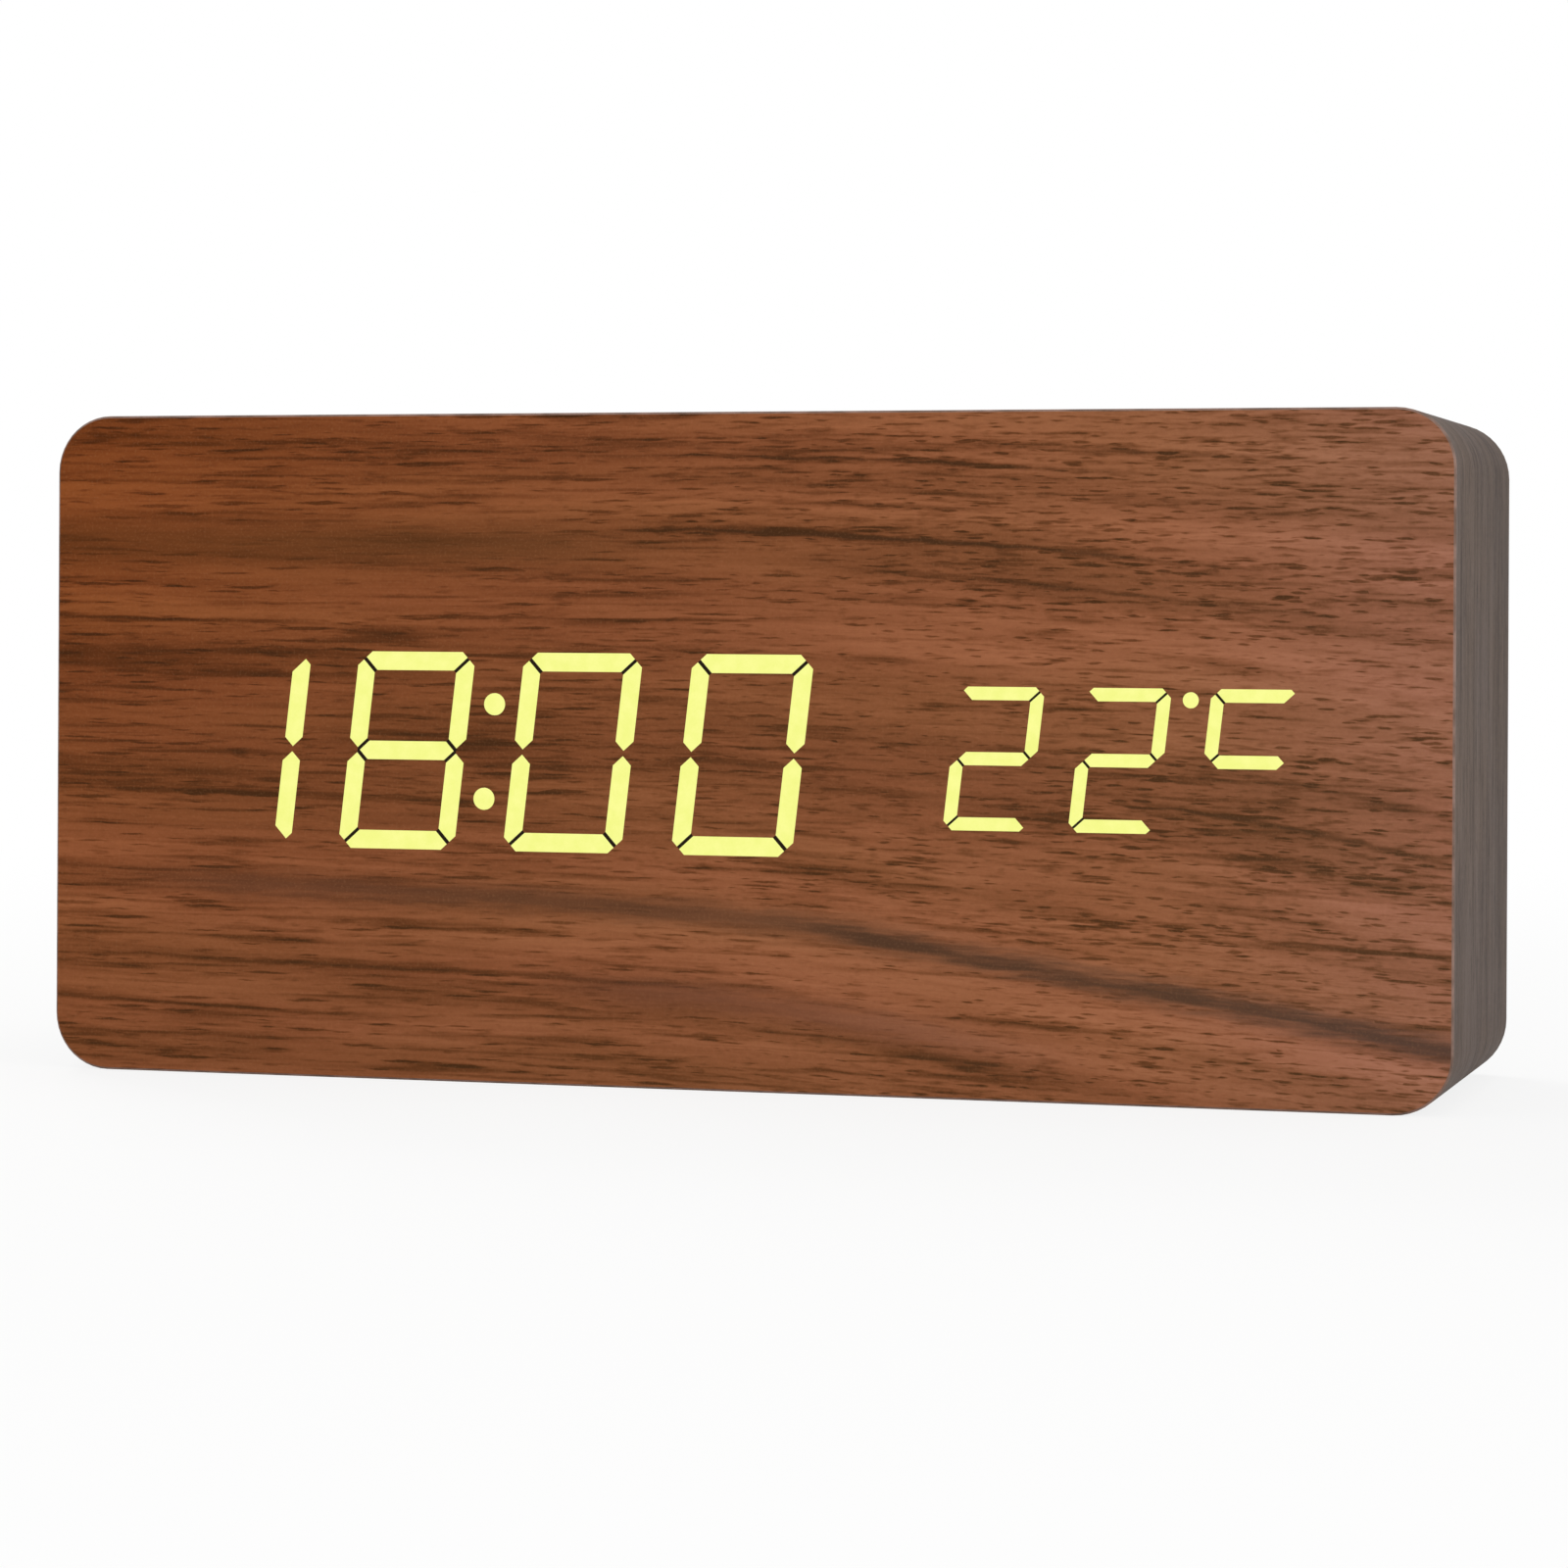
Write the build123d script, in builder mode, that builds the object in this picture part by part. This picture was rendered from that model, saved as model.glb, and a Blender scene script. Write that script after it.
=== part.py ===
# Digital desk clock in a film-covered fibreboard box, sizes in millimetres
# The front faces -Y, X runs to the right seen from the front, Z is up, the origin is under the middle
import os
from math import radians, sqrt, tan

from build123d import *

os.makedirs("parts", exist_ok=True)

# Case
case_width = 150.0
case_height = 70.0
case_depth = 43.0
corner_radius = 6.0
film_thickness = 0.4
film_bevel = 0.25
side_wall = 6.0
front_wall = 4.0
inner_radius = 2.5
rebate_step = 2.0
block_size = 11.0
block_length = 6.6

# Rear cover
cover_recess = 1.0
cover_thickness = 3.0
cover_gap = 0.3
cover_bevel = 0.4
mouth_bevel = 0.25
cover_screw_radius = 1.3
cover_screw_head_radius = 2.5
cover_screw_length = 8.0
screw_clearance = 0.05
shank_clearance = 0.2
head_clearance = 0.1
tip_spare = 0.4
drive_width = 0.7
drive_depth = 0.7

# Lit digits
slant = 6.5
display_drop = 0.35
digit_margin_left = 15.2
digit_margin_right = 16.1
group_spacing = 15.55
time_spacing = 5.4
time_height = 20.75
time_stroke = 1.95
time_corner = 1.45
time_gap = 0.38
colon_radius = 1.15
colon_rise = 4.95
temperature_spacing = 4.05
temperature_pitch_ratio = 0.7065
temperature_height = 14.6
temperature_stroke = 1.35
temperature_corner = 0.95
temperature_gap = 0.26
degree_radius = 0.8
degree_rise = 6.15
dot_clearance = 0.02

# Light mask, its guides and the display board
mask_depth = 8.0
mask_margin = 2.0
mask_clearance = 0.2
guide_depth = 3.0
led_length = 1.2
led_width = 0.7
led_height = 0.6
board_thickness = 1.6
display_board_side_gap = 2.6
display_board_end_gap = 3.6
board_hole_inset = 5.5
spacer_radius = 3.0
spacer_gap = 1.0
board_screw_radius = 1.25
board_screw_grip = 3.0
pan_head_radius = 2.5
pan_head_height = 1.7

# Parts on the back of the display board
clock_chip_length = 18.0
clock_chip_width = 7.5
clock_chip_height = 2.4
driver_chip_length = 10.0
driver_chip_width = 4.0
driver_chip_height = 1.6
clock_chip_pin_count = 14
driver_chip_pin_count = 8
chip_spacing = 6.0
pin_pitch = 1.27
pin_width = 0.4
pin_reach = 1.3
pin_thickness = 0.25
resistor_length = 2.0
resistor_width = 1.25
resistor_height = 0.5
resistor_pitch = 2.6
resistor_count = 8
resistor_row_rise = 14.0
crystal_radius = 1.5
crystal_length = 8.0
capacitor_radius = 3.15
capacitor_length = 7.0

# Ribbon cable and its two headers
header_length = 15.0
header_width = 5.0
header_height = 5.0
ribbon_width = 12.7
ribbon_thickness = 0.9
ribbon_lead = 0.7
ribbon_rise = 14.0
ribbon_drop = 5.0

# Control board behind the rear cover
control_board_width = 42.0
control_board_height = 36.0
control_standoff = 7.0
control_hole_inset = 3.5
control_hole_rise = 3.5
boss_radius = 2.6
boss_screw_radius = 0.9
boss_screw_grip = 4.5
boss_screw_head_radius = 1.8
boss_screw_head_height = 1.3
block_gap = 1.2
control_side_gap = 1.0
lead_room = 2.0

# Buttons and their switches
button_pitch = 12.5
button_rise = 8.0
button_radius = 4.0
button_clearance = 0.2
button_stand = 0.7
button_round = 0.5
button_travel = 0.5
flange_radius = 5.0
flange_thickness = 1.0
flange_gap = 0.1
stem_radius = 1.5
icon_size = 1.5
icon_depth = 0.3
switch_size = 6.0
switch_height = 3.5
plunger_radius = 1.7
plunger_stand = 1.0
plunger_seat = 0.8
plunger_clearance = 0.1

# Power socket and the well in the cover round it
socket_drop = 9.5
socket_width = 7.6
socket_height = 2.8
socket_wall = 0.3
socket_length = 5.5
tongue_width = 5.0
tongue_height = 0.7
tongue_length = 4.2
well_width = 12.0
well_height = 8.0
well_floor = 1.0
well_wall = 1.2
well_fit = 0.15
socket_mouth = 0.5

# Sounder, microphone and temperature sensor
sounder_drop = 7.5
sounder_radius = 4.5
sounder_height = 5.0
sound_hole_radius = 0.6
sound_hole_ring = 2.6
sound_hole_count = 6
microphone_radius = 3.0
microphone_height = 2.7
microphone_hole_radius = 0.75
microphone_drop = 1.5
sensor_drop = 9.0
sensor_radius = 1.2
sensor_length = 2.4
sensor_stand = 2.8
sensor_lead_radius = 0.25
sensor_lead_spacing = 1.2
vent_count = 3
vent_length = 7.0
vent_width = 1.2
vent_pitch = 2.6

# Cells, bay and contacts
bay_margin = 4.0
cell_radius = 5.25
cell_length = 44.5
cell_nub_radius = 1.9
cell_nub_length = 1.0
cell_round = 0.5
cell_pitch = 10.9
cell_gap = 0.1
bay_wall = 1.4
bay_spare = 0.6
plate_thickness = 0.4
plate_width = 8.0
bump_radius = 2.0
bump_height = 0.8
spring_length = 4.9
spring_wire = 0.3
spring_base_radius = 3.4
spring_turns = 3.25
spring_cone = 14.0
spring_gap = 0.05
tab_width = 2.4
tab_reach = 1.5
tab_clearance = 0.1
lead_radius = 0.65
lead_bend = 1.3
lead_drop = 5.0
lead_inset = 1.2

# Battery door
door_thickness = 1.8
door_inset = 0.1
door_bevel = 0.25
door_gap = 0.3
door_seat = 0.2
door_ledge = 1.5
door_cell_room = 0.5
pin_radius = 0.6
pin_length = 1.0
pin_clearance = 0.1
latch_width = 10.0
latch_depth = 8.0
latch_slit = 0.8
grip_count = 3
grip_length = 7.0
grip_width = 0.7
grip_height = 0.4
grip_pitch = 1.7
scoop_radius = 6.0
scoop_depth = 1.6

# Levels along the depth and inner limits that follow from the sizes above
front_y = -case_depth / 2
back_y = case_depth / 2
middle_z = case_height / 2
film_y = front_y + film_thickness
wall_y = film_y + front_wall
mask_y = film_y + mask_depth
guide_y = film_y + guide_depth
display_board_y = mask_y + board_thickness
cover_out = back_y - cover_recess
cover_in = cover_out - cover_thickness
inner_width = case_width - 2 * (film_thickness + side_wall)
inner_height = case_height - 2 * (film_thickness + side_wall)
rebate_width = inner_width + 2 * rebate_step
rebate_height = inner_height + 2 * rebate_step
rebate_radius = inner_radius + rebate_step
block_x = (inner_width - block_size) / 2
block_z = (inner_height - block_size) / 2
shear = tan(radians(slant))
display_height = middle_z - display_drop
display_board_width = inner_width - 2 * display_board_side_gap
display_board_height = inner_height - 2 * display_board_end_gap

# The digits share the width between the two margins, four large places and three small ones
digit_span = case_width - digit_margin_left - digit_margin_right
places_span = digit_span - group_spacing + time_spacing + temperature_spacing
time_pitch = places_span / (4 + 3 * temperature_pitch_ratio)
time_width = time_pitch - time_spacing
temperature_pitch = time_pitch * temperature_pitch_ratio
temperature_width = temperature_pitch - temperature_spacing
time_centre = -case_width / 2 + digit_margin_left + 1.5 * time_pitch + time_width / 2
temperature_centre = case_width / 2 - digit_margin_right - temperature_pitch - temperature_width / 2


# Working planes: one facing the front and one facing the back, both at depth y
def facing_front(y):
    return Plane(origin=(0, y, 0), x_dir=(1, 0, 0), z_dir=(0, -1, 0))


def facing_back(y):
    return Plane(origin=(0, y, 0), x_dir=(-1, 0, 0), z_dir=(0, 1, 0))


def save(piece, label):
    piece.label = label
    export_step(piece, f"parts/{label}.step")


# One slanted seven-segment digit, drawn about its own centre
class Digit:
    def __init__(self, x, width, height, stroke, corner, gap):
        self.x = x
        self.across = width / 2
        self.up = height / 2
        self.stroke = stroke
        self.corner = corner
        self.gap = gap / sqrt(2)

    # Puts an upright point of the digit in its place on the slanted face
    def place(self, point):
        return (self.x + point[0] + shear * point[1], display_height + point[1])

    # Upright outlines of the top, upper right and middle segments, the rest mirror them
    def top(self):
        a, u, t, c, k = self.across, self.up, self.stroke, self.corner, self.gap
        half = [(a - t - k, u - t), (a - (c + k) / 2, u - (c - k) / 2), (a - c, u)]
        return half + [(-x, z) for x, z in reversed(half)]

    def upper_right(self):
        a, u, t, c, k = self.across, self.up, self.stroke, self.corner, self.gap
        lower = [(a - t, k + t / 2), (a - t / 2, k), (a, k + t / 2)]
        upper = [(a, u - c), (a - (c - k) / 2, u - (c + k) / 2), (a - t, u - t - k)]
        return lower + upper

    def middle(self):
        a, t, k = self.across, self.stroke, self.gap
        half = [(a - t - k, t / 2), (a - t / 2 - k, 0), (a - t - k, -t / 2)]
        return half + [(-x, -z) for x, z in half]

    # Thin partitions at the upper right corner, on the right above the middle and between three tips there
    def corner_partition(self):
        top, side = self.top(), self.upper_right()
        return [top[0], top[1], side[4], side[5]]

    def middle_partition(self):
        side, middle = self.upper_right(), self.middle()
        return [side[0], side[1], middle[1], middle[0]]

    def tip_partition(self):
        x, z = self.upper_right()[1]
        return [(x, z), (x, -z), self.middle()[1]]

    def outline(self, name):
        shapes = {"a": self.top(), "g": self.middle()}
        shapes["b"] = self.upper_right()
        shapes["c"] = [(x, -z) for x, z in shapes["b"]]
        shapes["d"] = [(x, -z) for x, z in shapes["a"]]
        shapes["e"] = [(-x, -z) for x, z in shapes["b"]]
        shapes["f"] = [(-x, z) for x, z in shapes["b"]]
        return [self.place(point) for point in shapes[name]]

    def partition(self, names):
        corner, middle, tips = self.corner_partition(), self.middle_partition(), self.tip_partition()
        shapes = {"ab": corner, "bg": middle, "bcg": tips}
        shapes["af"] = [(-x, z) for x, z in corner]
        shapes["cd"] = [(x, -z) for x, z in corner]
        shapes["de"] = [(-x, -z) for x, z in corner]
        shapes["cg"] = [(x, -z) for x, z in middle]
        shapes["fg"] = [(-x, z) for x, z in middle]
        shapes["eg"] = [(-x, -z) for x, z in middle]
        shapes["efg"] = [(-x, z) for x, z in tips]
        return [self.place(point) for point in shapes[names]]

    # Middle of a segment
    def centre(self, name):
        a, u, t = self.across, self.up, self.stroke
        side, half = a - t / 2, u / 2
        centres = {"a": (0, u - t / 2), "d": (0, t / 2 - u), "g": (0, 0)}
        centres.update({"b": (side, half), "c": (side, -half), "e": (-side, -half), "f": (-side, half)})
        return self.place(centres[name])


def time_digit(place):
    x = time_centre + (place - 1.5) * time_pitch
    return Digit(x, time_width, time_height, time_stroke, time_corner, time_gap)


def temperature_digit(place):
    x = temperature_centre + (place - 1) * temperature_pitch
    return Digit(
        x, temperature_width, temperature_height, temperature_stroke, temperature_corner, temperature_gap
    )


# What each place of the display shows, by the segments that are lit
segment_names = "abcdefg"
partition_names = ["ab", "af", "cd", "de", "bg", "cg", "fg", "eg", "bcg", "efg"]
upright_names = "bcef"
digits = {
    "hour_tens_segments": (time_digit(0), "bc"),
    "hour_ones_segments": (time_digit(1), "abcdefg"),
    "minute_tens_segments": (time_digit(2), "abcdef"),
    "minute_ones_segments": (time_digit(3), "abcdef"),
    "temperature_tens_segments": (temperature_digit(0), "abdeg"),
    "temperature_ones_segments": (temperature_digit(1), "abdeg"),
    "celsius_segments": (temperature_digit(2), "afg"),
}
colon_points = [
    (time_centre + shear * rise, display_height + rise) for rise in (-colon_rise, colon_rise)
]
degree_x = temperature_centre + temperature_pitch / 2
degree_point = (degree_x + shear * degree_rise, display_height + degree_rise)

# The window in the front wall spans every digit with a margin
window_left = digits["hour_tens_segments"][0].place((-time_width / 2, -time_height / 2))[0] - mask_margin
window_right = (
    digits["celsius_segments"][0].place((temperature_width / 2, temperature_height / 2))[0] + mask_margin
)
window_width = window_right - window_left
window_height = time_height + 2 * mask_margin
window_x = (window_left + window_right) / 2


# Draws the partitions between lit neighbours of one digit
def lit_partitions(digit, lit):
    for names in partition_names:
        if all(name in lit for name in names):
            Polygon(*digit.partition(names), align=None)


# Case shell: a fibreboard box, open and rebated at the back, with a window in its front wall
shell_width = case_width - 2 * film_thickness
shell_height = case_height - 2 * film_thickness
shell_radius = corner_radius - film_thickness
shell_back = back_y - film_thickness
board_hole_x = display_board_width / 2 - board_hole_inset
board_hole_z = window_height / 2 + spacer_radius + spacer_gap
with BuildPart() as case_shell:
    with BuildSketch(facing_front(shell_back)):
        with Locations((0, middle_z)):
            RectangleRounded(shell_width, shell_height, shell_radius)
    extrude(amount=shell_back - film_y)
    with BuildSketch(facing_front(shell_back)):
        with Locations((0, middle_z)):
            RectangleRounded(inner_width, inner_height, inner_radius)
    extrude(amount=shell_back - wall_y, mode=Mode.SUBTRACT)
    with BuildSketch(facing_front(shell_back)):
        with Locations((0, middle_z)):
            RectangleRounded(rebate_width, rebate_height, rebate_radius)
    extrude(amount=shell_back - cover_in, mode=Mode.SUBTRACT)
    with BuildSketch(facing_front(wall_y)):
        with Locations((window_x, display_height)):
            Rectangle(window_width, window_height)
    extrude(amount=front_wall, mode=Mode.SUBTRACT)
    with BuildSketch(facing_front(wall_y)):
        with Locations((0, display_height)):
            with GridLocations(2 * board_hole_x, 2 * board_hole_z, 2, 2):
                Circle(board_screw_radius + screw_clearance)
    extrude(amount=board_screw_grip + tip_spare, mode=Mode.SUBTRACT)
save(case_shell.part, "case_shell")

# Front film: covers the whole front, open at the lit segments
with BuildPart() as front_film:
    with BuildSketch(facing_front(film_y)):
        with Locations((0, middle_z)):
            RectangleRounded(case_width, case_height, corner_radius)
    extrude(amount=film_thickness)
    chamfer(front_film.faces().sort_by(Axis.Y)[0].outer_wire().edges(), film_bevel)
    with BuildSketch(facing_front(film_y)):
        for digit, lit in digits.values():
            for name in lit:
                Polygon(*digit.outline(name), align=None)
            lit_partitions(digit, lit)
        with Locations(*colon_points):
            Circle(colon_radius + dot_clearance)
        with Locations(degree_point):
            Circle(degree_radius + dot_clearance)
    extrude(amount=film_thickness, mode=Mode.SUBTRACT)
save(front_film.part, "front_film")

# Side wrap: the darker film round the four sides, turned over onto the rear rim
with BuildPart() as side_wrap:
    with BuildSketch(facing_front(back_y)):
        with Locations((0, middle_z)):
            RectangleRounded(case_width, case_height, corner_radius)
            RectangleRounded(rebate_width, rebate_height, rebate_radius, mode=Mode.SUBTRACT)
    extrude(amount=film_thickness)
    with BuildSketch(facing_front(shell_back)):
        with Locations((0, middle_z)):
            RectangleRounded(case_width, case_height, corner_radius)
            RectangleRounded(shell_width, shell_height, shell_radius, mode=Mode.SUBTRACT)
    extrude(amount=shell_back - film_y)
save(side_wrap.part, "side_wrap")

# Corner blocks: glued into the four inner corners to take the rear screws
with BuildPart() as corner_blocks:
    with BuildSketch(facing_front(cover_in)):
        with Locations((0, middle_z)):
            with GridLocations(2 * block_x, 2 * block_z, 2, 2):
                Rectangle(block_size, block_size)
            RectangleRounded(inner_width, inner_height, inner_radius, mode=Mode.INTERSECT)
    extrude(amount=block_length)
    with BuildSketch(facing_front(cover_in)):
        with Locations((0, middle_z)):
            with GridLocations(2 * block_x, 2 * block_z, 2, 2):
                Circle(cover_screw_radius + screw_clearance)
    extrude(amount=cover_screw_length - cover_thickness + tip_spare, mode=Mode.SUBTRACT)
save(corner_blocks.part, "corner_blocks")

# Light mask: a black block in the window with a cell for every segment, partitions reach the front
with BuildPart() as light_mask:
    with BuildSketch(facing_front(mask_y)):
        with Locations((window_x, display_height)):
            Rectangle(window_width - 2 * mask_clearance, window_height - 2 * mask_clearance)
        for digit, lit in digits.values():
            for name in segment_names:
                Polygon(*digit.outline(name), align=None, mode=Mode.SUBTRACT)
        with Locations(*colon_points):
            Circle(colon_radius + dot_clearance, mode=Mode.SUBTRACT)
        with Locations(degree_point):
            Circle(degree_radius + dot_clearance, mode=Mode.SUBTRACT)
    extrude(amount=mask_depth)
    with BuildSketch(facing_front(film_y)):
        for digit, lit in digits.values():
            lit_partitions(digit, lit)
    extrude(amount=film_thickness)
save(light_mask.part, "light_mask")

# Lit light guides: one solid for each lit segment, flush with the film
for label, (digit, lit) in digits.items():
    with BuildPart() as guides:
        with BuildSketch(facing_front(guide_y)):
            for name in lit:
                Polygon(*digit.outline(name), align=None)
        extrude(amount=guide_depth + film_thickness)
    save(guides.part, label)

with BuildPart() as colon_dots:
    with BuildSketch(facing_front(guide_y)):
        with Locations(*colon_points):
            Circle(colon_radius)
    extrude(amount=guide_depth + film_thickness)
save(colon_dots.part, "colon_dots")

with BuildPart() as degree_dot:
    with BuildSketch(facing_front(guide_y)):
        with Locations(degree_point):
            Circle(degree_radius)
    extrude(amount=guide_depth + film_thickness)
save(degree_dot.part, "degree_dot")

# Unlit light guides: the same, hidden behind the film
with BuildPart() as unlit_segments:
    with BuildSketch(facing_front(guide_y)):
        for digit, lit in digits.values():
            for name in segment_names:
                if name not in lit:
                    Polygon(*digit.outline(name), align=None)
    extrude(amount=guide_depth)
save(unlit_segments.part, "unlit_segments")

# Display board behind the mask
with BuildPart() as display_board:
    with BuildSketch(facing_front(display_board_y)):
        with Locations((0, middle_z)):
            Rectangle(display_board_width, display_board_height)
        with Locations((0, display_height)):
            with GridLocations(2 * board_hole_x, 2 * board_hole_z, 2, 2):
                Circle(board_screw_radius + shank_clearance, mode=Mode.SUBTRACT)
    extrude(amount=board_thickness)
save(display_board.part, "display_board")

# Light-emitting chips: one at the bottom of every cell
with BuildPart() as segment_leds:
    with BuildSketch(facing_front(mask_y)):
        for digit, lit in digits.values():
            for name in segment_names:
                with Locations(digit.centre(name)):
                    if name in upright_names:
                        Rectangle(led_width, led_length)
                    else:
                        Rectangle(led_length, led_width)
        with Locations(*colon_points, degree_point):
            Rectangle(led_width, led_width)
    extrude(amount=led_height)
save(segment_leds.part, "segment_leds")

# Spacers between the front wall and the display board
with BuildPart() as board_spacers:
    with BuildSketch(facing_front(mask_y)):
        with Locations((0, display_height)):
            with GridLocations(2 * board_hole_x, 2 * board_hole_z, 2, 2):
                Circle(spacer_radius)
                Circle(board_screw_radius + shank_clearance, mode=Mode.SUBTRACT)
    extrude(amount=mask_y - wall_y)
save(board_spacers.part, "board_spacers")


# Cross-shaped drive recess cut into screw heads, sunk from the plane the heads end on
def cross_recess(head_radius):
    Rectangle(head_radius * 1.2, drive_width)
    Rectangle(drive_width, head_radius * 1.2)


# Pan-head screws through the display board into the front wall
board_screw_head = display_board_y + pan_head_height
with BuildPart() as board_screws:
    with BuildSketch(facing_front(display_board_y)):
        with Locations((0, display_height)):
            with GridLocations(2 * board_hole_x, 2 * board_hole_z, 2, 2):
                Circle(board_screw_radius)
    extrude(amount=display_board_y - wall_y + board_screw_grip)
    with BuildSketch(facing_front(board_screw_head)):
        with Locations((0, display_height)):
            with GridLocations(2 * board_hole_x, 2 * board_hole_z, 2, 2):
                Circle(pan_head_radius)
    extrude(amount=pan_head_height)
    fillet(board_screws.faces().filter_by(Axis.Y).sort_by(Axis.Y)[-4:].edges(), pan_head_height / 2)
    with BuildSketch(facing_front(board_screw_head)):
        with Locations((0, display_height)):
            with GridLocations(2 * board_hole_x, 2 * board_hole_z, 2, 2):
                cross_recess(pan_head_radius)
    extrude(amount=drive_depth, mode=Mode.SUBTRACT)
save(board_screws.part, "board_screws")


# Flat chip with two rows of legs, lying on the back of the display board
def chip(x, length, width, height, pins):
    with BuildSketch(facing_front(display_board_y + pin_thickness + height)) as body:
        with Locations((x, middle_z)):
            Rectangle(length, width)
    extrude(body.sketch, amount=height)
    with BuildSketch(facing_front(display_board_y + height / 2)) as legs:
        with Locations((x, middle_z)):
            with GridLocations(pin_pitch, width + pin_reach, pins, 2):
                Rectangle(pin_width, pin_reach)
    extrude(legs.sketch, amount=height / 2)


with BuildPart() as clock_chip:
    chip(0, clock_chip_length, clock_chip_width, clock_chip_height, clock_chip_pin_count)
save(clock_chip.part, "clock_chip")

first_driver_x = (clock_chip_length + driver_chip_length) / 2 + chip_spacing
second_driver_x = first_driver_x + driver_chip_length + chip_spacing
with BuildPart() as driver_chips:
    chip(first_driver_x, driver_chip_length, driver_chip_width, driver_chip_height, driver_chip_pin_count)
    chip(second_driver_x, driver_chip_length, driver_chip_width, driver_chip_height, driver_chip_pin_count)
save(driver_chips.part, "driver_chips")

# Row of resistors above the driver chips
with BuildPart() as segment_resistors:
    with BuildSketch(facing_front(display_board_y + resistor_height)):
        with Locations((first_driver_x, middle_z + resistor_row_rise)):
            with GridLocations(resistor_pitch, 0, resistor_count, 1):
                Rectangle(resistor_width, resistor_length)
    extrude(amount=resistor_height)
save(segment_resistors.part, "segment_resistors")

# Quartz crystal: a small round can lying above the clock chip
with BuildPart() as quartz_crystal:
    with BuildSketch(Plane.YZ.offset(-crystal_length / 2)):
        with Locations((display_board_y + crystal_radius, middle_z + resistor_row_rise)):
            Circle(crystal_radius)
    extrude(amount=crystal_length)
    fillet(quartz_crystal.edges().filter_by(GeomType.CIRCLE), crystal_radius / 4)
save(quartz_crystal.part, "quartz_crystal")

# Smoothing capacitor standing on the board
with BuildPart() as smoothing_capacitor:
    with BuildSketch(facing_front(display_board_y + capacitor_length)):
        with Locations((second_driver_x, middle_z - resistor_row_rise)):
            Circle(capacitor_radius)
    extrude(amount=capacitor_length)
    fillet(smoothing_capacitor.edges().filter_by(GeomType.CIRCLE), capacitor_radius / 8)
save(smoothing_capacitor.part, "smoothing_capacitor")

# Battery bay at one side, with as many pairs of cells as the height has room for
cell_count = 2 * int((inner_height - 2 * bay_margin) / (2 * cell_pitch))
bay_length = 2 * plate_thickness + bump_height + cell_length + spring_length
bay_height = cell_count * cell_pitch + bay_spare
bay_right = inner_width / 2 - block_size - block_gap - bay_wall
bay_left = bay_right - bay_length
bay_x = (bay_left + bay_right) / 2

# Control board, fixed to bosses of the rear cover midway between the bay and the side wall
control_back = cover_in - control_standoff
control_front = control_back - board_thickness
control_left_limit = -inner_width / 2 + control_side_gap
control_right_limit = bay_left - bay_wall - lead_room
control_x = (control_left_limit + control_right_limit) / 2
control_hole_x = control_board_width / 2 - control_hole_inset
control_hole_z = control_board_height / 2 - control_hole_rise
with BuildPart() as control_board:
    with BuildSketch(facing_front(control_back)):
        with Locations((control_x, middle_z)):
            Rectangle(control_board_width, control_board_height)
            with GridLocations(2 * control_hole_x, 2 * control_hole_z, 2, 2):
                Circle(boss_screw_radius + shank_clearance, mode=Mode.SUBTRACT)
    extrude(amount=board_thickness)
save(control_board.part, "control_board")

# Screws that hold the control board, driven from the front
control_screw_head = control_front - boss_screw_head_height
with BuildPart() as control_board_screws:
    with BuildSketch(facing_front(control_back + boss_screw_grip)):
        with Locations((control_x, middle_z)):
            with GridLocations(2 * control_hole_x, 2 * control_hole_z, 2, 2):
                Circle(boss_screw_radius)
    extrude(amount=board_thickness + boss_screw_grip)
    with BuildSketch(facing_front(control_front)):
        with Locations((control_x, middle_z)):
            with GridLocations(2 * control_hole_x, 2 * control_hole_z, 2, 2):
                Circle(boss_screw_head_radius)
    extrude(amount=boss_screw_head_height)
    fillet(
        control_board_screws.faces().filter_by(Axis.Y).sort_by(Axis.Y)[:4].edges(),
        boss_screw_head_height / 3,
    )
    with BuildSketch(facing_back(control_screw_head)):
        with Locations((-control_x, middle_z)):
            with GridLocations(2 * control_hole_x, 2 * control_hole_z, 2, 2):
                cross_recess(boss_screw_head_radius)
    extrude(amount=drive_depth, mode=Mode.SUBTRACT)
save(control_board_screws.part, "control_board_screws")

# Headers of the ribbon cable, one on each board
display_header_z = middle_z - ribbon_drop
control_header_z = display_header_z + ribbon_rise
display_header_y = display_board_y + header_height
control_header_y = control_front - header_height
with BuildPart() as display_header:
    with BuildSketch(facing_front(display_header_y)):
        with Locations((control_x, display_header_z)):
            Rectangle(header_length, header_width)
    extrude(amount=header_height)
save(display_header.part, "display_header")

with BuildPart() as control_header:
    with BuildSketch(facing_front(control_front)):
        with Locations((control_x, control_header_z)):
            Rectangle(header_length, header_width)
    extrude(amount=header_height)
save(control_header.part, "control_header")

# Ribbon cable: leaves one header, climbs and turns into the other
ribbon_turn = (control_header_y + display_header_y) / 2
ribbon_bend = min(ribbon_turn - display_header_y, ribbon_rise / 2) - ribbon_lead
with BuildPart() as ribbon_cable:
    with BuildSketch(Plane.YZ.offset(control_x - ribbon_width / 2)):
        with BuildLine():
            FilletPolyline(
                (display_header_y, display_header_z),
                (ribbon_turn, display_header_z),
                (ribbon_turn, control_header_z),
                (control_header_y, control_header_z),
                radius=ribbon_bend,
            )
        trace(line_width=ribbon_thickness)
    extrude(amount=ribbon_width)
save(ribbon_cable.part, "ribbon_cable")

# Push switches: a square body with a bore, and a plunger that slides in it
button_z = middle_z + button_rise
switch_top = control_back + switch_height
plunger_top = switch_top + plunger_stand
plunger_bottom = switch_top - plunger_seat
flange_back = cover_in - flange_gap
flange_front = flange_back - flange_thickness
button_top = cover_out + button_stand
button_places = {"set": control_x + button_pitch, "up": control_x, "down": control_x - button_pitch}


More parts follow.
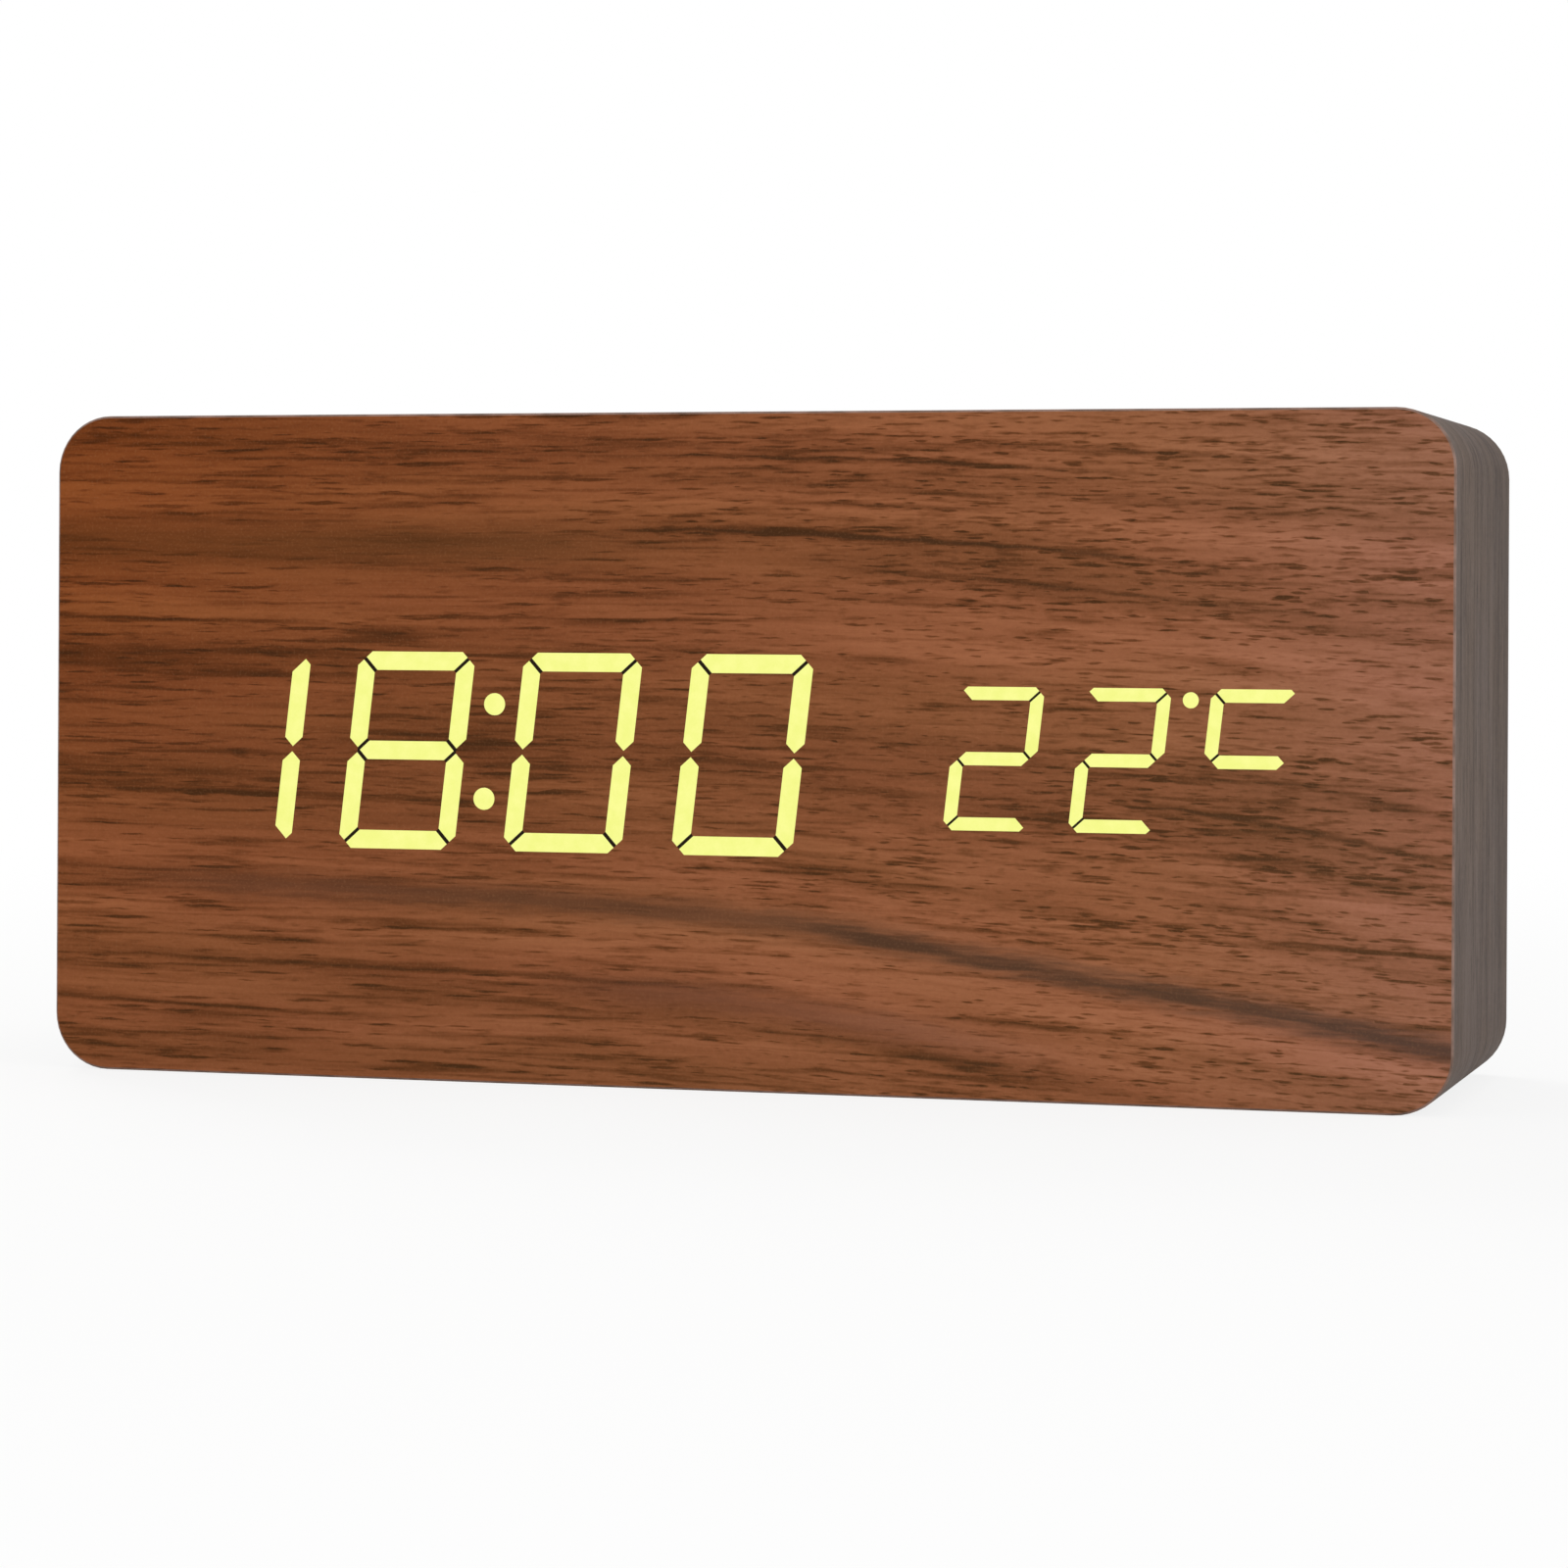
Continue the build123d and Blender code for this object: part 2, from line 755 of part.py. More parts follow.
# Mark pressed into the top of a cap: a ring for set, arrowheads for up and down
def button_icon(name):
    if name == "set":
        Circle(icon_size)
        Circle(icon_size / 2, mode=Mode.SUBTRACT)
    else:
        RegularPolygon(icon_size, 3, rotation=90 if name == "up" else -90)


for name, x in button_places.items():
    with BuildPart() as switch:
        with BuildSketch(facing_front(switch_top)):
            with Locations((x, button_z)):
                Rectangle(switch_size, switch_size)
        extrude(amount=switch_height)
        with BuildSketch(facing_front(switch_top)):
            with Locations((x, button_z)):
                Circle(plunger_radius + plunger_clearance)
        extrude(amount=plunger_seat + button_travel + plunger_clearance, mode=Mode.SUBTRACT)
    save(switch.part, f"{name}_switch")

    with BuildPart() as plunger:
        with BuildSketch(facing_front(plunger_top)):
            with Locations((x, button_z)):
                Circle(plunger_radius)
        extrude(amount=plunger_top - plunger_bottom)
    save(plunger.part, f"{name}_plunger")

    with BuildPart() as button:
        with BuildSketch(facing_front(button_top)):
            with Locations((x, button_z)):
                Circle(button_radius)
        extrude(amount=button_top - flange_back)
        fillet(button.faces().sort_by(Axis.Y)[-1].edges(), button_round)
        with BuildSketch(facing_front(flange_back)):
            with Locations((x, button_z)):
                Circle(flange_radius)
        extrude(amount=flange_thickness)
        with BuildSketch(facing_front(flange_front)):
            with Locations((x, button_z)):
                Circle(stem_radius)
        extrude(amount=flange_front - plunger_top)
        with BuildSketch(facing_front(button_top)):
            with Locations((x, button_z)):
                button_icon(name)
        extrude(amount=icon_depth, mode=Mode.SUBTRACT)
    save(button.part, f"{name}_button")

# Power socket: a metal shell standing on the control board, with a tongue inside
socket_z = middle_z - socket_drop
socket_top = control_back + socket_length
socket_round = socket_height / 2 - socket_wall
with BuildPart() as power_socket_shell:
    with BuildSketch(facing_front(socket_top)):
        with Locations((control_x, socket_z)):
            RectangleRounded(socket_width, socket_height, socket_round)
    extrude(amount=socket_length)
    with BuildSketch(facing_front(socket_top)):
        with Locations((control_x, socket_z)):
            RectangleRounded(
                socket_width - 2 * socket_wall, socket_height - 2 * socket_wall, socket_round - socket_wall
            )
    extrude(amount=socket_length - socket_wall, mode=Mode.SUBTRACT)
save(power_socket_shell.part, "power_socket_shell")

with BuildPart() as power_socket_tongue:
    with BuildSketch(facing_front(control_back + socket_wall + tongue_length)):
        with Locations((control_x, socket_z)):
            Rectangle(tongue_width, tongue_height)
    extrude(amount=tongue_length)
save(power_socket_tongue.part, "power_socket_tongue")

# Sounder, microphone and temperature sensor on the control board
sounder_point = (control_x + button_pitch, middle_z - sounder_drop)
microphone_point = (control_x - button_pitch, middle_z - microphone_drop)
sensor_point = (control_x - button_pitch, middle_z - sensor_drop)
with BuildPart() as sounder:
    with BuildSketch(facing_front(control_back + sounder_height)):
        with Locations(sounder_point):
            Circle(sounder_radius)
    extrude(amount=sounder_height)
    with BuildSketch(facing_front(control_back + sounder_height)):
        with Locations(sounder_point):
            Circle(sound_hole_radius)
    extrude(amount=sounder_height / 2, mode=Mode.SUBTRACT)
save(sounder.part, "sounder")

with BuildPart() as microphone:
    with BuildSketch(facing_front(control_back + microphone_height)):
        with Locations(microphone_point):
            Circle(microphone_radius)
    extrude(amount=microphone_height)
    with BuildSketch(facing_front(control_back + microphone_height)):
        with Locations(microphone_point):
            Circle(microphone_hole_radius)
    extrude(amount=microphone_height / 2, mode=Mode.SUBTRACT)
save(microphone.part, "microphone")

with BuildPart() as temperature_sensor:
    with BuildSketch(facing_front(control_back + sensor_stand)):
        with Locations(sensor_point):
            with GridLocations(sensor_lead_spacing, 0, 2, 1):
                Circle(sensor_lead_radius)
    extrude(amount=sensor_stand)
    with BuildSketch(facing_front(control_back + sensor_stand + sensor_length)):
        with Locations(sensor_point):
            Circle(sensor_radius)
    extrude(amount=sensor_length)
    fillet(temperature_sensor.faces().sort_by(Axis.Y)[-1].edges(), sensor_radius / 2)
save(temperature_sensor.part, "temperature_sensor")

# Battery door limits
door_out = cover_out - door_inset
door_in = door_out - door_thickness
ledge_y = door_in - door_seat
cell_y = door_in - door_cell_room - cell_radius
bay_floor = cell_y - cell_radius - cell_gap
recess_width = bay_length + 2 * door_ledge
recess_height = bay_height + 2 * door_ledge
door_width = recess_width - 2 * door_gap
hinge_y = (door_in + door_out) / 2
hinge_z = middle_z - recess_height / 2 + door_gap + door_thickness / 2
door_top = middle_z + recess_height / 2 - door_gap
tab_y = cell_y - plate_width / 2
cell_levels = [middle_z + (i - (cell_count - 1) / 2) * cell_pitch for i in range(cell_count)]

# Rear cover: a plate with the bay, the bosses and the well of the power socket moulded on its inside
cover_width = rebate_width - 2 * cover_gap
cover_height = rebate_height - 2 * cover_gap
well_y = socket_top - socket_mouth
with BuildPart() as rear_cover:
    with BuildSketch(facing_front(cover_out)):
        with Locations((0, middle_z)):
            RectangleRounded(cover_width, cover_height, rebate_radius - cover_gap)
    extrude(amount=cover_thickness)
    chamfer(rear_cover.faces().sort_by(Axis.Y)[-1].edges(), cover_bevel)
    with BuildSketch(facing_front(cover_in)):
        with Locations((bay_x, middle_z)):
            Rectangle(bay_length + 2 * bay_wall, bay_height + 2 * bay_wall)
    extrude(amount=cover_in - bay_floor + bay_wall)
    with BuildSketch(facing_front(cover_in)):
        with Locations((control_x, middle_z)):
            with GridLocations(2 * control_hole_x, 2 * control_hole_z, 2, 2):
                Circle(boss_radius)
    extrude(amount=control_standoff)
    with BuildSketch(facing_front(cover_in)):
        with Locations((control_x, socket_z)):
            Rectangle(well_width + 2 * well_wall, well_height + 2 * well_wall)
    extrude(amount=cover_in - well_y + well_floor)
    # Recess for the door, the bay behind it and the finger scoop above it
    with BuildSketch(facing_front(cover_out)):
        with Locations((bay_x, middle_z)):
            Rectangle(recess_width, recess_height)
    extrude(amount=cover_out - ledge_y, mode=Mode.SUBTRACT)
    with BuildSketch(facing_front(ledge_y)):
        with Locations((bay_x, middle_z)):
            Rectangle(bay_length, bay_height)
    extrude(amount=ledge_y - bay_floor, mode=Mode.SUBTRACT)
    with BuildSketch(facing_front(cover_out)):
        with Locations((bay_x, middle_z + recess_height / 2)):
            Circle(scoop_radius)
    extrude(amount=scoop_depth, mode=Mode.SUBTRACT)
    # Well, slot for the socket, pilot holes in the bosses
    with BuildSketch(facing_front(cover_out)):
        with Locations((control_x, socket_z)):
            Rectangle(well_width, well_height)
    extrude(amount=cover_out - well_y, mode=Mode.SUBTRACT)
    with BuildSketch(facing_front(well_y)):
        with Locations((control_x, socket_z)):
            RectangleRounded(socket_width + 2 * well_fit, socket_height + 2 * well_fit, socket_round)
    extrude(amount=well_floor, mode=Mode.SUBTRACT)
    with BuildSketch(facing_front(control_back + boss_screw_grip + tip_spare)):
        with Locations((control_x, middle_z)):
            with GridLocations(2 * control_hole_x, 2 * control_hole_z, 2, 2):
                Circle(boss_screw_radius + screw_clearance)
    extrude(amount=boss_screw_grip + tip_spare, mode=Mode.SUBTRACT)
    # Holes through the plate: buttons, sounder, microphone and vents
    with BuildSketch(facing_front(cover_out)):
        for x in button_places.values():
            with Locations((x, button_z)):
                Circle(button_radius + button_clearance)
        with Locations(sounder_point):
            Circle(sound_hole_radius)
            with PolarLocations(sound_hole_ring, sound_hole_count):
                Circle(sound_hole_radius)
        with Locations(microphone_point):
            Circle(microphone_hole_radius)
        with Locations(sensor_point):
            with GridLocations(0, vent_pitch, 1, vent_count):
                SlotOverall(vent_length, vent_width)
    extrude(amount=cover_thickness, mode=Mode.SUBTRACT)
    # Eased edges of every mouth in the outer face
    outer_face = rear_cover.faces().filter_by(Axis.Y).sort_by(Axis.Y)[-1]
    chamfer([edge for wire in outer_face.inner_wires() for edge in wire.edges()], mouth_bevel)
    # Sockets for the pins of the door
    with BuildSketch(Plane.YZ.offset(bay_x)):
        with Locations((hinge_y, hinge_z)):
            Circle(pin_radius + pin_clearance)
    extrude(amount=recess_width / 2 + pin_length, both=True, mode=Mode.SUBTRACT)
    # Countersunk screw holes in the corners
    with Locations(facing_back(cover_out)):
        with Locations((0, middle_z)):
            with GridLocations(2 * block_x, 2 * block_z, 2, 2):
                CounterSinkHole(
                    cover_screw_radius + shank_clearance,
                    cover_screw_head_radius + head_clearance,
                    counter_sink_angle=90,
                )
    # Slots for the two contact tabs
    with BuildSketch(Plane.YZ.offset(bay_left - bay_wall)):
        for z in (cell_levels[0], cell_levels[-1]):
            with Locations((tab_y + plate_thickness / 2, z)):
                Rectangle(plate_thickness + 2 * tab_clearance, tab_width + 2 * tab_clearance)
    extrude(amount=bay_wall, mode=Mode.SUBTRACT)
save(rear_cover.part, "rear_cover")

# Countersunk screws of the rear cover
with BuildPart() as cover_screws:
    with BuildSketch(facing_front(cover_out)):
        with Locations((0, middle_z)):
            with GridLocations(2 * block_x, 2 * block_z, 2, 2):
                Circle(cover_screw_radius)
    extrude(amount=cover_screw_length)
    with BuildSketch(facing_front(cover_out)):
        with Locations((0, middle_z)):
            with GridLocations(2 * block_x, 2 * block_z, 2, 2):
                Circle(cover_screw_head_radius)
    extrude(amount=cover_screw_head_radius - cover_screw_radius, taper=45)
    with BuildSketch(facing_front(cover_out)):
        with Locations((0, middle_z)):
            with GridLocations(2 * block_x, 2 * block_z, 2, 2):
                cross_recess(cover_screw_head_radius)
    extrude(amount=drive_depth, mode=Mode.SUBTRACT)
save(cover_screws.part, "cover_screws")

# Cells lie across the clock, every other one turned round
plus_left = bay_left + plate_thickness + bump_height
plus_right = bay_right - plate_thickness - bump_height
body_length = cell_length - cell_nub_length
for number, z in enumerate(cell_levels):
    towards = 1 if number % 2 == 0 else -1
    nub_x = plus_left if towards == 1 else plus_right
    nub_plane = Plane(origin=(nub_x, cell_y, z), x_dir=(0, 1, 0), z_dir=(towards, 0, 0))
    with BuildPart() as cell:
        with BuildSketch(nub_plane.offset(cell_nub_length)):
            Circle(cell_radius)
        extrude(amount=body_length)
        fillet(cell.edges().filter_by(GeomType.CIRCLE), cell_round)
        with BuildSketch(nub_plane):
            Circle(cell_nub_radius)
        extrude(amount=cell_nub_length)
    save(cell.part, f"cell_{number + 1}")


# Contact plate on an end wall of the bay, spanning a run of cells, with a bump for each plus end
def contact_plate(face_x, inward, levels, bumps):
    wall_plane = Plane(origin=(face_x, cell_y, 0), x_dir=(0, 1, 0), z_dir=(inward, 0, 0))
    up = wall_plane.y_dir.Z
    with BuildSketch(wall_plane) as plate:
        with Locations((0, up * (levels[0] + levels[-1]) / 2)):
            Rectangle(plate_width, levels[-1] - levels[0] + plate_width)
    extrude(plate.sketch, amount=plate_thickness)
    if bumps:
        with BuildSketch(wall_plane.offset(plate_thickness)) as bump:
            with Locations(*[(0, up * z) for z in bumps]):
                Circle(bump_radius)
        extrude(bump.sketch, amount=bump_height)


# Tab that passes through the slot in the bay wall
def contact_tab(z):
    with BuildSketch(Plane.YZ.offset(bay_left - bay_wall - tab_reach)) as strip:
        with Locations((tab_y + plate_thickness / 2, z)):
            Rectangle(plate_thickness, tab_width)
    extrude(strip.sketch, amount=bay_wall + tab_reach)


with BuildPart() as positive_contact:
    contact_plate(bay_left, 1, cell_levels[:1], cell_levels[:1])
    contact_tab(cell_levels[0])
save(positive_contact.part, "positive_contact")

with BuildPart() as negative_contact:
    contact_plate(bay_left, 1, cell_levels[-1:], [])
    contact_tab(cell_levels[-1])
save(negative_contact.part, "negative_contact")

with BuildPart() as bridge_contacts:
    for first in range(0, cell_count - 1, 2):
        contact_plate(bay_right, -1, cell_levels[first:first + 2], [cell_levels[first + 1]])
    for first in range(1, cell_count - 1, 2):
        contact_plate(bay_left, 1, cell_levels[first:first + 2], [cell_levels[first + 1]])
save(bridge_contacts.part, "bridge_contacts")

# Coil springs between the plates and the minus ends
coil_height = spring_length - 2 * (spring_wire + spring_gap)
coil_start = plate_thickness + spring_wire + spring_gap
with BuildPart() as contact_springs:
    for number, z in enumerate(cell_levels):
        inward = -1 if number % 2 == 0 else 1
        start_x = bay_right - coil_start if inward == -1 else bay_left + coil_start
        with BuildLine() as coil:
            Helix(
                coil_height / spring_turns,
                coil_height,
                spring_base_radius,
                center=(start_x, cell_y, z),
                direction=(inward, 0, 0),
                cone_angle=-spring_cone,
            )
        with BuildSketch(Plane(origin=coil.line @ 0, z_dir=coil.line % 0)):
            Circle(spring_wire)
        sweep(path=coil.line, is_frenet=True)
save(contact_springs.part, "contact_springs")

# Battery leads from the two tabs to the front of the control board
lead_start = bay_left - bay_wall - tab_reach / 2
lead_end = control_x + control_board_width / 2 - lead_inset
lead_low = control_front - lead_drop
lead_points = [(lead_start, tab_y), (lead_start, lead_low), (lead_end, lead_low), (lead_end, control_front)]
for label, z in (("positive_lead", cell_levels[0]), ("negative_lead", cell_levels[-1])):
    with BuildPart() as lead:
        with BuildLine(Plane.XY.offset(z)) as route:
            FilletPolyline(*lead_points, radius=lead_bend)
        with BuildSketch(Plane(origin=route.line @ 0, z_dir=route.line % 0)):
            Circle(lead_radius)
        sweep(path=route.line)
    save(lead.part, label)

# Battery door: a plate with a rounded lower edge on two pins and a springy latch at its top
door_height = door_top - hinge_z
latch_x = (latch_width + latch_slit) / 2
with BuildPart() as battery_door:
    with BuildSketch(facing_front(door_out)):
        with Locations((bay_x, hinge_z + door_height / 2)):
            Rectangle(door_width, door_height)
        with Locations((bay_x, door_top - latch_depth / 2)):
            with GridLocations(2 * latch_x, 0, 2, 1):
                Rectangle(latch_slit, latch_depth, mode=Mode.SUBTRACT)
    extrude(amount=door_thickness)
    outer_edges = battery_door.faces().sort_by(Axis.Y)[-1].edges()
    chamfer(outer_edges.sort_by(Axis.Z)[1:], door_bevel)
    with BuildSketch(Plane.YZ.offset(bay_x)):
        with Locations((hinge_y, hinge_z)):
            Circle(door_thickness / 2)
    extrude(amount=door_width / 2, both=True)
    with BuildSketch(Plane.YZ.offset(bay_x)):
        with Locations((hinge_y, hinge_z)):
            Circle(pin_radius)
    extrude(amount=door_width / 2 + pin_length, both=True)
    with BuildSketch(facing_front(door_out + grip_height)):
        with Locations((bay_x, door_top - latch_depth / 2)):
            with GridLocations(0, grip_pitch, 1, grip_count):
                SlotOverall(grip_length, grip_width)
    extrude(amount=grip_height)
    grip_tops = battery_door.faces().filter_by(Axis.Y).sort_by(Axis.Y)[-grip_count:]
    fillet(grip_tops.edges(), grip_width / 4)
save(battery_door.part, "battery_door")
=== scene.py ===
import math

import bpy
from mathutils import Matrix, Vector


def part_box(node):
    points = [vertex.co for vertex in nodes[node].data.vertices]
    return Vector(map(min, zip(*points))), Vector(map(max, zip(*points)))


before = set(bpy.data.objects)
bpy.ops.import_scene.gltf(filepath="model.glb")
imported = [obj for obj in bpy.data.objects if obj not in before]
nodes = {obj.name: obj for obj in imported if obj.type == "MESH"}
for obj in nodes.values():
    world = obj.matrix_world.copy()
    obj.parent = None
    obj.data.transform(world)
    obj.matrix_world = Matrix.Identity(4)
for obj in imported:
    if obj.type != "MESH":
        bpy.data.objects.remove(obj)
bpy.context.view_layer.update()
millimetres = 1000.0  # in a metre
print("clock: frame loaded with", len(nodes), "nodes")


# camera at the photograph's viewpoint: level, a little to the right
cameraLook = {
    "yaw": 16.036, "roll": -0.3, "distance": 0.483776, "height": 0.049838,
    "lens": 103.284, "sensor": 36.0, "shiftX": 0.0006, "shiftY": -0.1124, "nearest": 0.01,
}


def addCamera(look):
    yaw = math.radians(look["yaw"])
    roll = math.radians(look["roll"])
    forward = Vector((-math.sin(yaw), math.cos(yaw), 0))
    right = Vector((math.cos(yaw), math.sin(yaw), 0))
    up = Vector((0, 0, 1))
    across = right * math.cos(roll) - up * math.sin(roll)
    upright = right * math.sin(roll) + up * math.cos(roll)
    spot = Vector((0, 0, look["height"])) - forward * look["distance"]
    bpy.ops.object.camera_add(location=spot)
    camera = bpy.context.object
    camera.name = "deskView"
    turn = Matrix((across, upright, -forward)).transposed()  # columns are the camera's own axes
    camera.matrix_world = Matrix.Translation(spot) @ turn.to_4x4()
    camera.data.sensor_width = look["sensor"]
    camera.data.lens = look["lens"]
    camera.data.shift_x = look["shiftX"]
    camera.data.shift_y = look["shiftY"]
    camera.data.clip_start = look["nearest"]
    bpy.context.scene.camera = camera


addCamera(cameraLook)
print("clock: camera set")


class Wire:  # one output of a node, which can stand in a sum
    def __init__(self, finish, socket):
        self.finish = finish
        self.socket = socket

    def sum(self, operation, first, second=0.0):
        return self.finish.add("ShaderNodeMath", {"operation": operation}, {0: first, 1: second})

    def __add__(self, other):
        return self.sum("ADD", self, other)

    def __radd__(self, other):
        return self.sum("ADD", other, self)

    def __sub__(self, other):
        return self.sum("SUBTRACT", self, other)

    def __rsub__(self, other):
        return self.sum("SUBTRACT", other, self)

    def __mul__(self, other):
        return self.sum("MULTIPLY", self, other)

    def __rmul__(self, other):
        return self.sum("MULTIPLY", other, self)

    def __truediv__(self, other):
        return self.sum("DIVIDE", self, other)

    def __rtruediv__(self, other):
        return self.sum("DIVIDE", other, self)

    def __abs__(self):
        return self.sum("ABSOLUTE", self)

    def root(self):
        return self.sum("SQRT", self)

    def most(self, other):  # no more than the other
        return self.sum("MINIMUM", self, other)

    def least(self, other):  # no less than the other
        return self.sum("MAXIMUM", self, other)

    def remainder(self, other):
        return self.sum("FLOORED_MODULO", self, other)

    def sibling(self, name):  # another output of the same node
        return Wire(self.finish, self.socket.node.outputs[name])


class Finish:  # the nodes of one material, or of the world, while they are wired
    def __init__(self, owner):
        owner.use_nodes = True
        self.owner = owner
        self.tree = owner.node_tree
        self.tree.nodes.clear()

    def add(self, kind, settings, inputs, output=0):
        node = self.tree.nodes.new(kind)
        for name, value in settings.items():
            if name == "stops":
                ramp = node.color_ramp.elements
                while len(ramp) < len(value):
                    ramp.new(1.0)
                for stop, (position, colour) in zip(ramp, value):
                    stop.position = position
                    stop.color = (*colour, 1)
            else:
                setattr(node, name, value)
        for name, value in inputs.items():
            socket = node.inputs[name]
            if isinstance(value, Wire):
                self.tree.links.new(value.socket, socket)
            elif socket.type == "RGBA":
                socket.default_value = (*value, 1)
            else:
                socket.default_value = value
        return Wire(self, node.outputs[output] if node.outputs else None)

    def spot(self):  # object coordinates in millimetres
        place = self.add("ShaderNodeTexCoord", {}, {}, "Object")
        large = self.add("ShaderNodeVectorMath", {"operation": "SCALE"}, {0: place, "Scale": millimetres})
        x = self.add("ShaderNodeSeparateXYZ", {}, {0: large}, "X")
        return x, x.sibling("Y"), x.sibling("Z")

    def noise(self, x, y, z, detail=2.0, rough=0.5):
        place = self.add("ShaderNodeCombineXYZ", {}, {"X": x, "Y": y, "Z": z})
        return self.add(
            "ShaderNodeTexNoise", {}, {"Vector": place, "Scale": 1.0, "Detail": detail, "Roughness": rough}
        )

    def even(self, spot, scale, detail=2.0, rough=0.5):  # noise of the same size in every direction
        x, y, z = spot
        return self.noise(x * scale, y * scale, z * scale, detail, rough)

    # distance to the nearest of many scattered points, and a chance value of that point
    def scatter(self, across, up):
        place = self.add("ShaderNodeCombineXYZ", {}, {"X": across, "Y": up})
        flat = {"voronoi_dimensions": "2D"}
        away = self.add("ShaderNodeTexVoronoi", flat, {"Vector": place, "Scale": 1.0}, "Distance")
        return away, self.add("ShaderNodeSeparateColor", {}, {0: away.sibling("Color")}, "Blue")

    def ease(self, value, low, high):  # 0 below low, 1 above high, smooth between
        limits = {"Value": value, "From Min": low, "From Max": high}
        return self.add("ShaderNodeMapRange", {"interpolation_type": "SMOOTHSTEP"}, limits)

    def span(self, value, start, end, soft):  # 1 between start and end, easing in and out
        return self.ease(value, start - soft, start + soft) * self.ease(value, end + soft, end - soft)

    def ridge(self, value, level, width):  # 1 at the level, falling off on both sides
        away = (value - level) / width
        return self.add("ShaderNodeMath", {"operation": "EXPONENT"}, {0: away * away * -1.0})

    def ramp(self, value, stops):
        return self.add("ShaderNodeValToRGB", {"stops": stops}, {0: value})

    def blend(self, factor, first, second, way="MIX"):
        settings = {"data_type": "RGBA", "blend_type": way}
        return self.add("ShaderNodeMix", settings, {0: factor, 6: first, 7: second}, 2)

    def bump(self, height, strength, distance):
        return self.add("ShaderNodeBump", {}, {"Height": height, "Strength": strength, "Distance": distance})

    def close(self, surface, kind="ShaderNodeOutputMaterial"):
        self.add(kind, {}, {"Surface": surface})
        return self.owner

    def done(self, inputs):
        return self.close(self.add("ShaderNodeBsdfPrincipled", {}, inputs))


def newFinish(name):
    return Finish(bpy.data.materials.new(name))


def dress(material, *names):
    for name in names:
        for slot in nodes[name].material_slots:
            slot.material = material
    print("clock: finished", material.name, "on", len(names), "nodes")


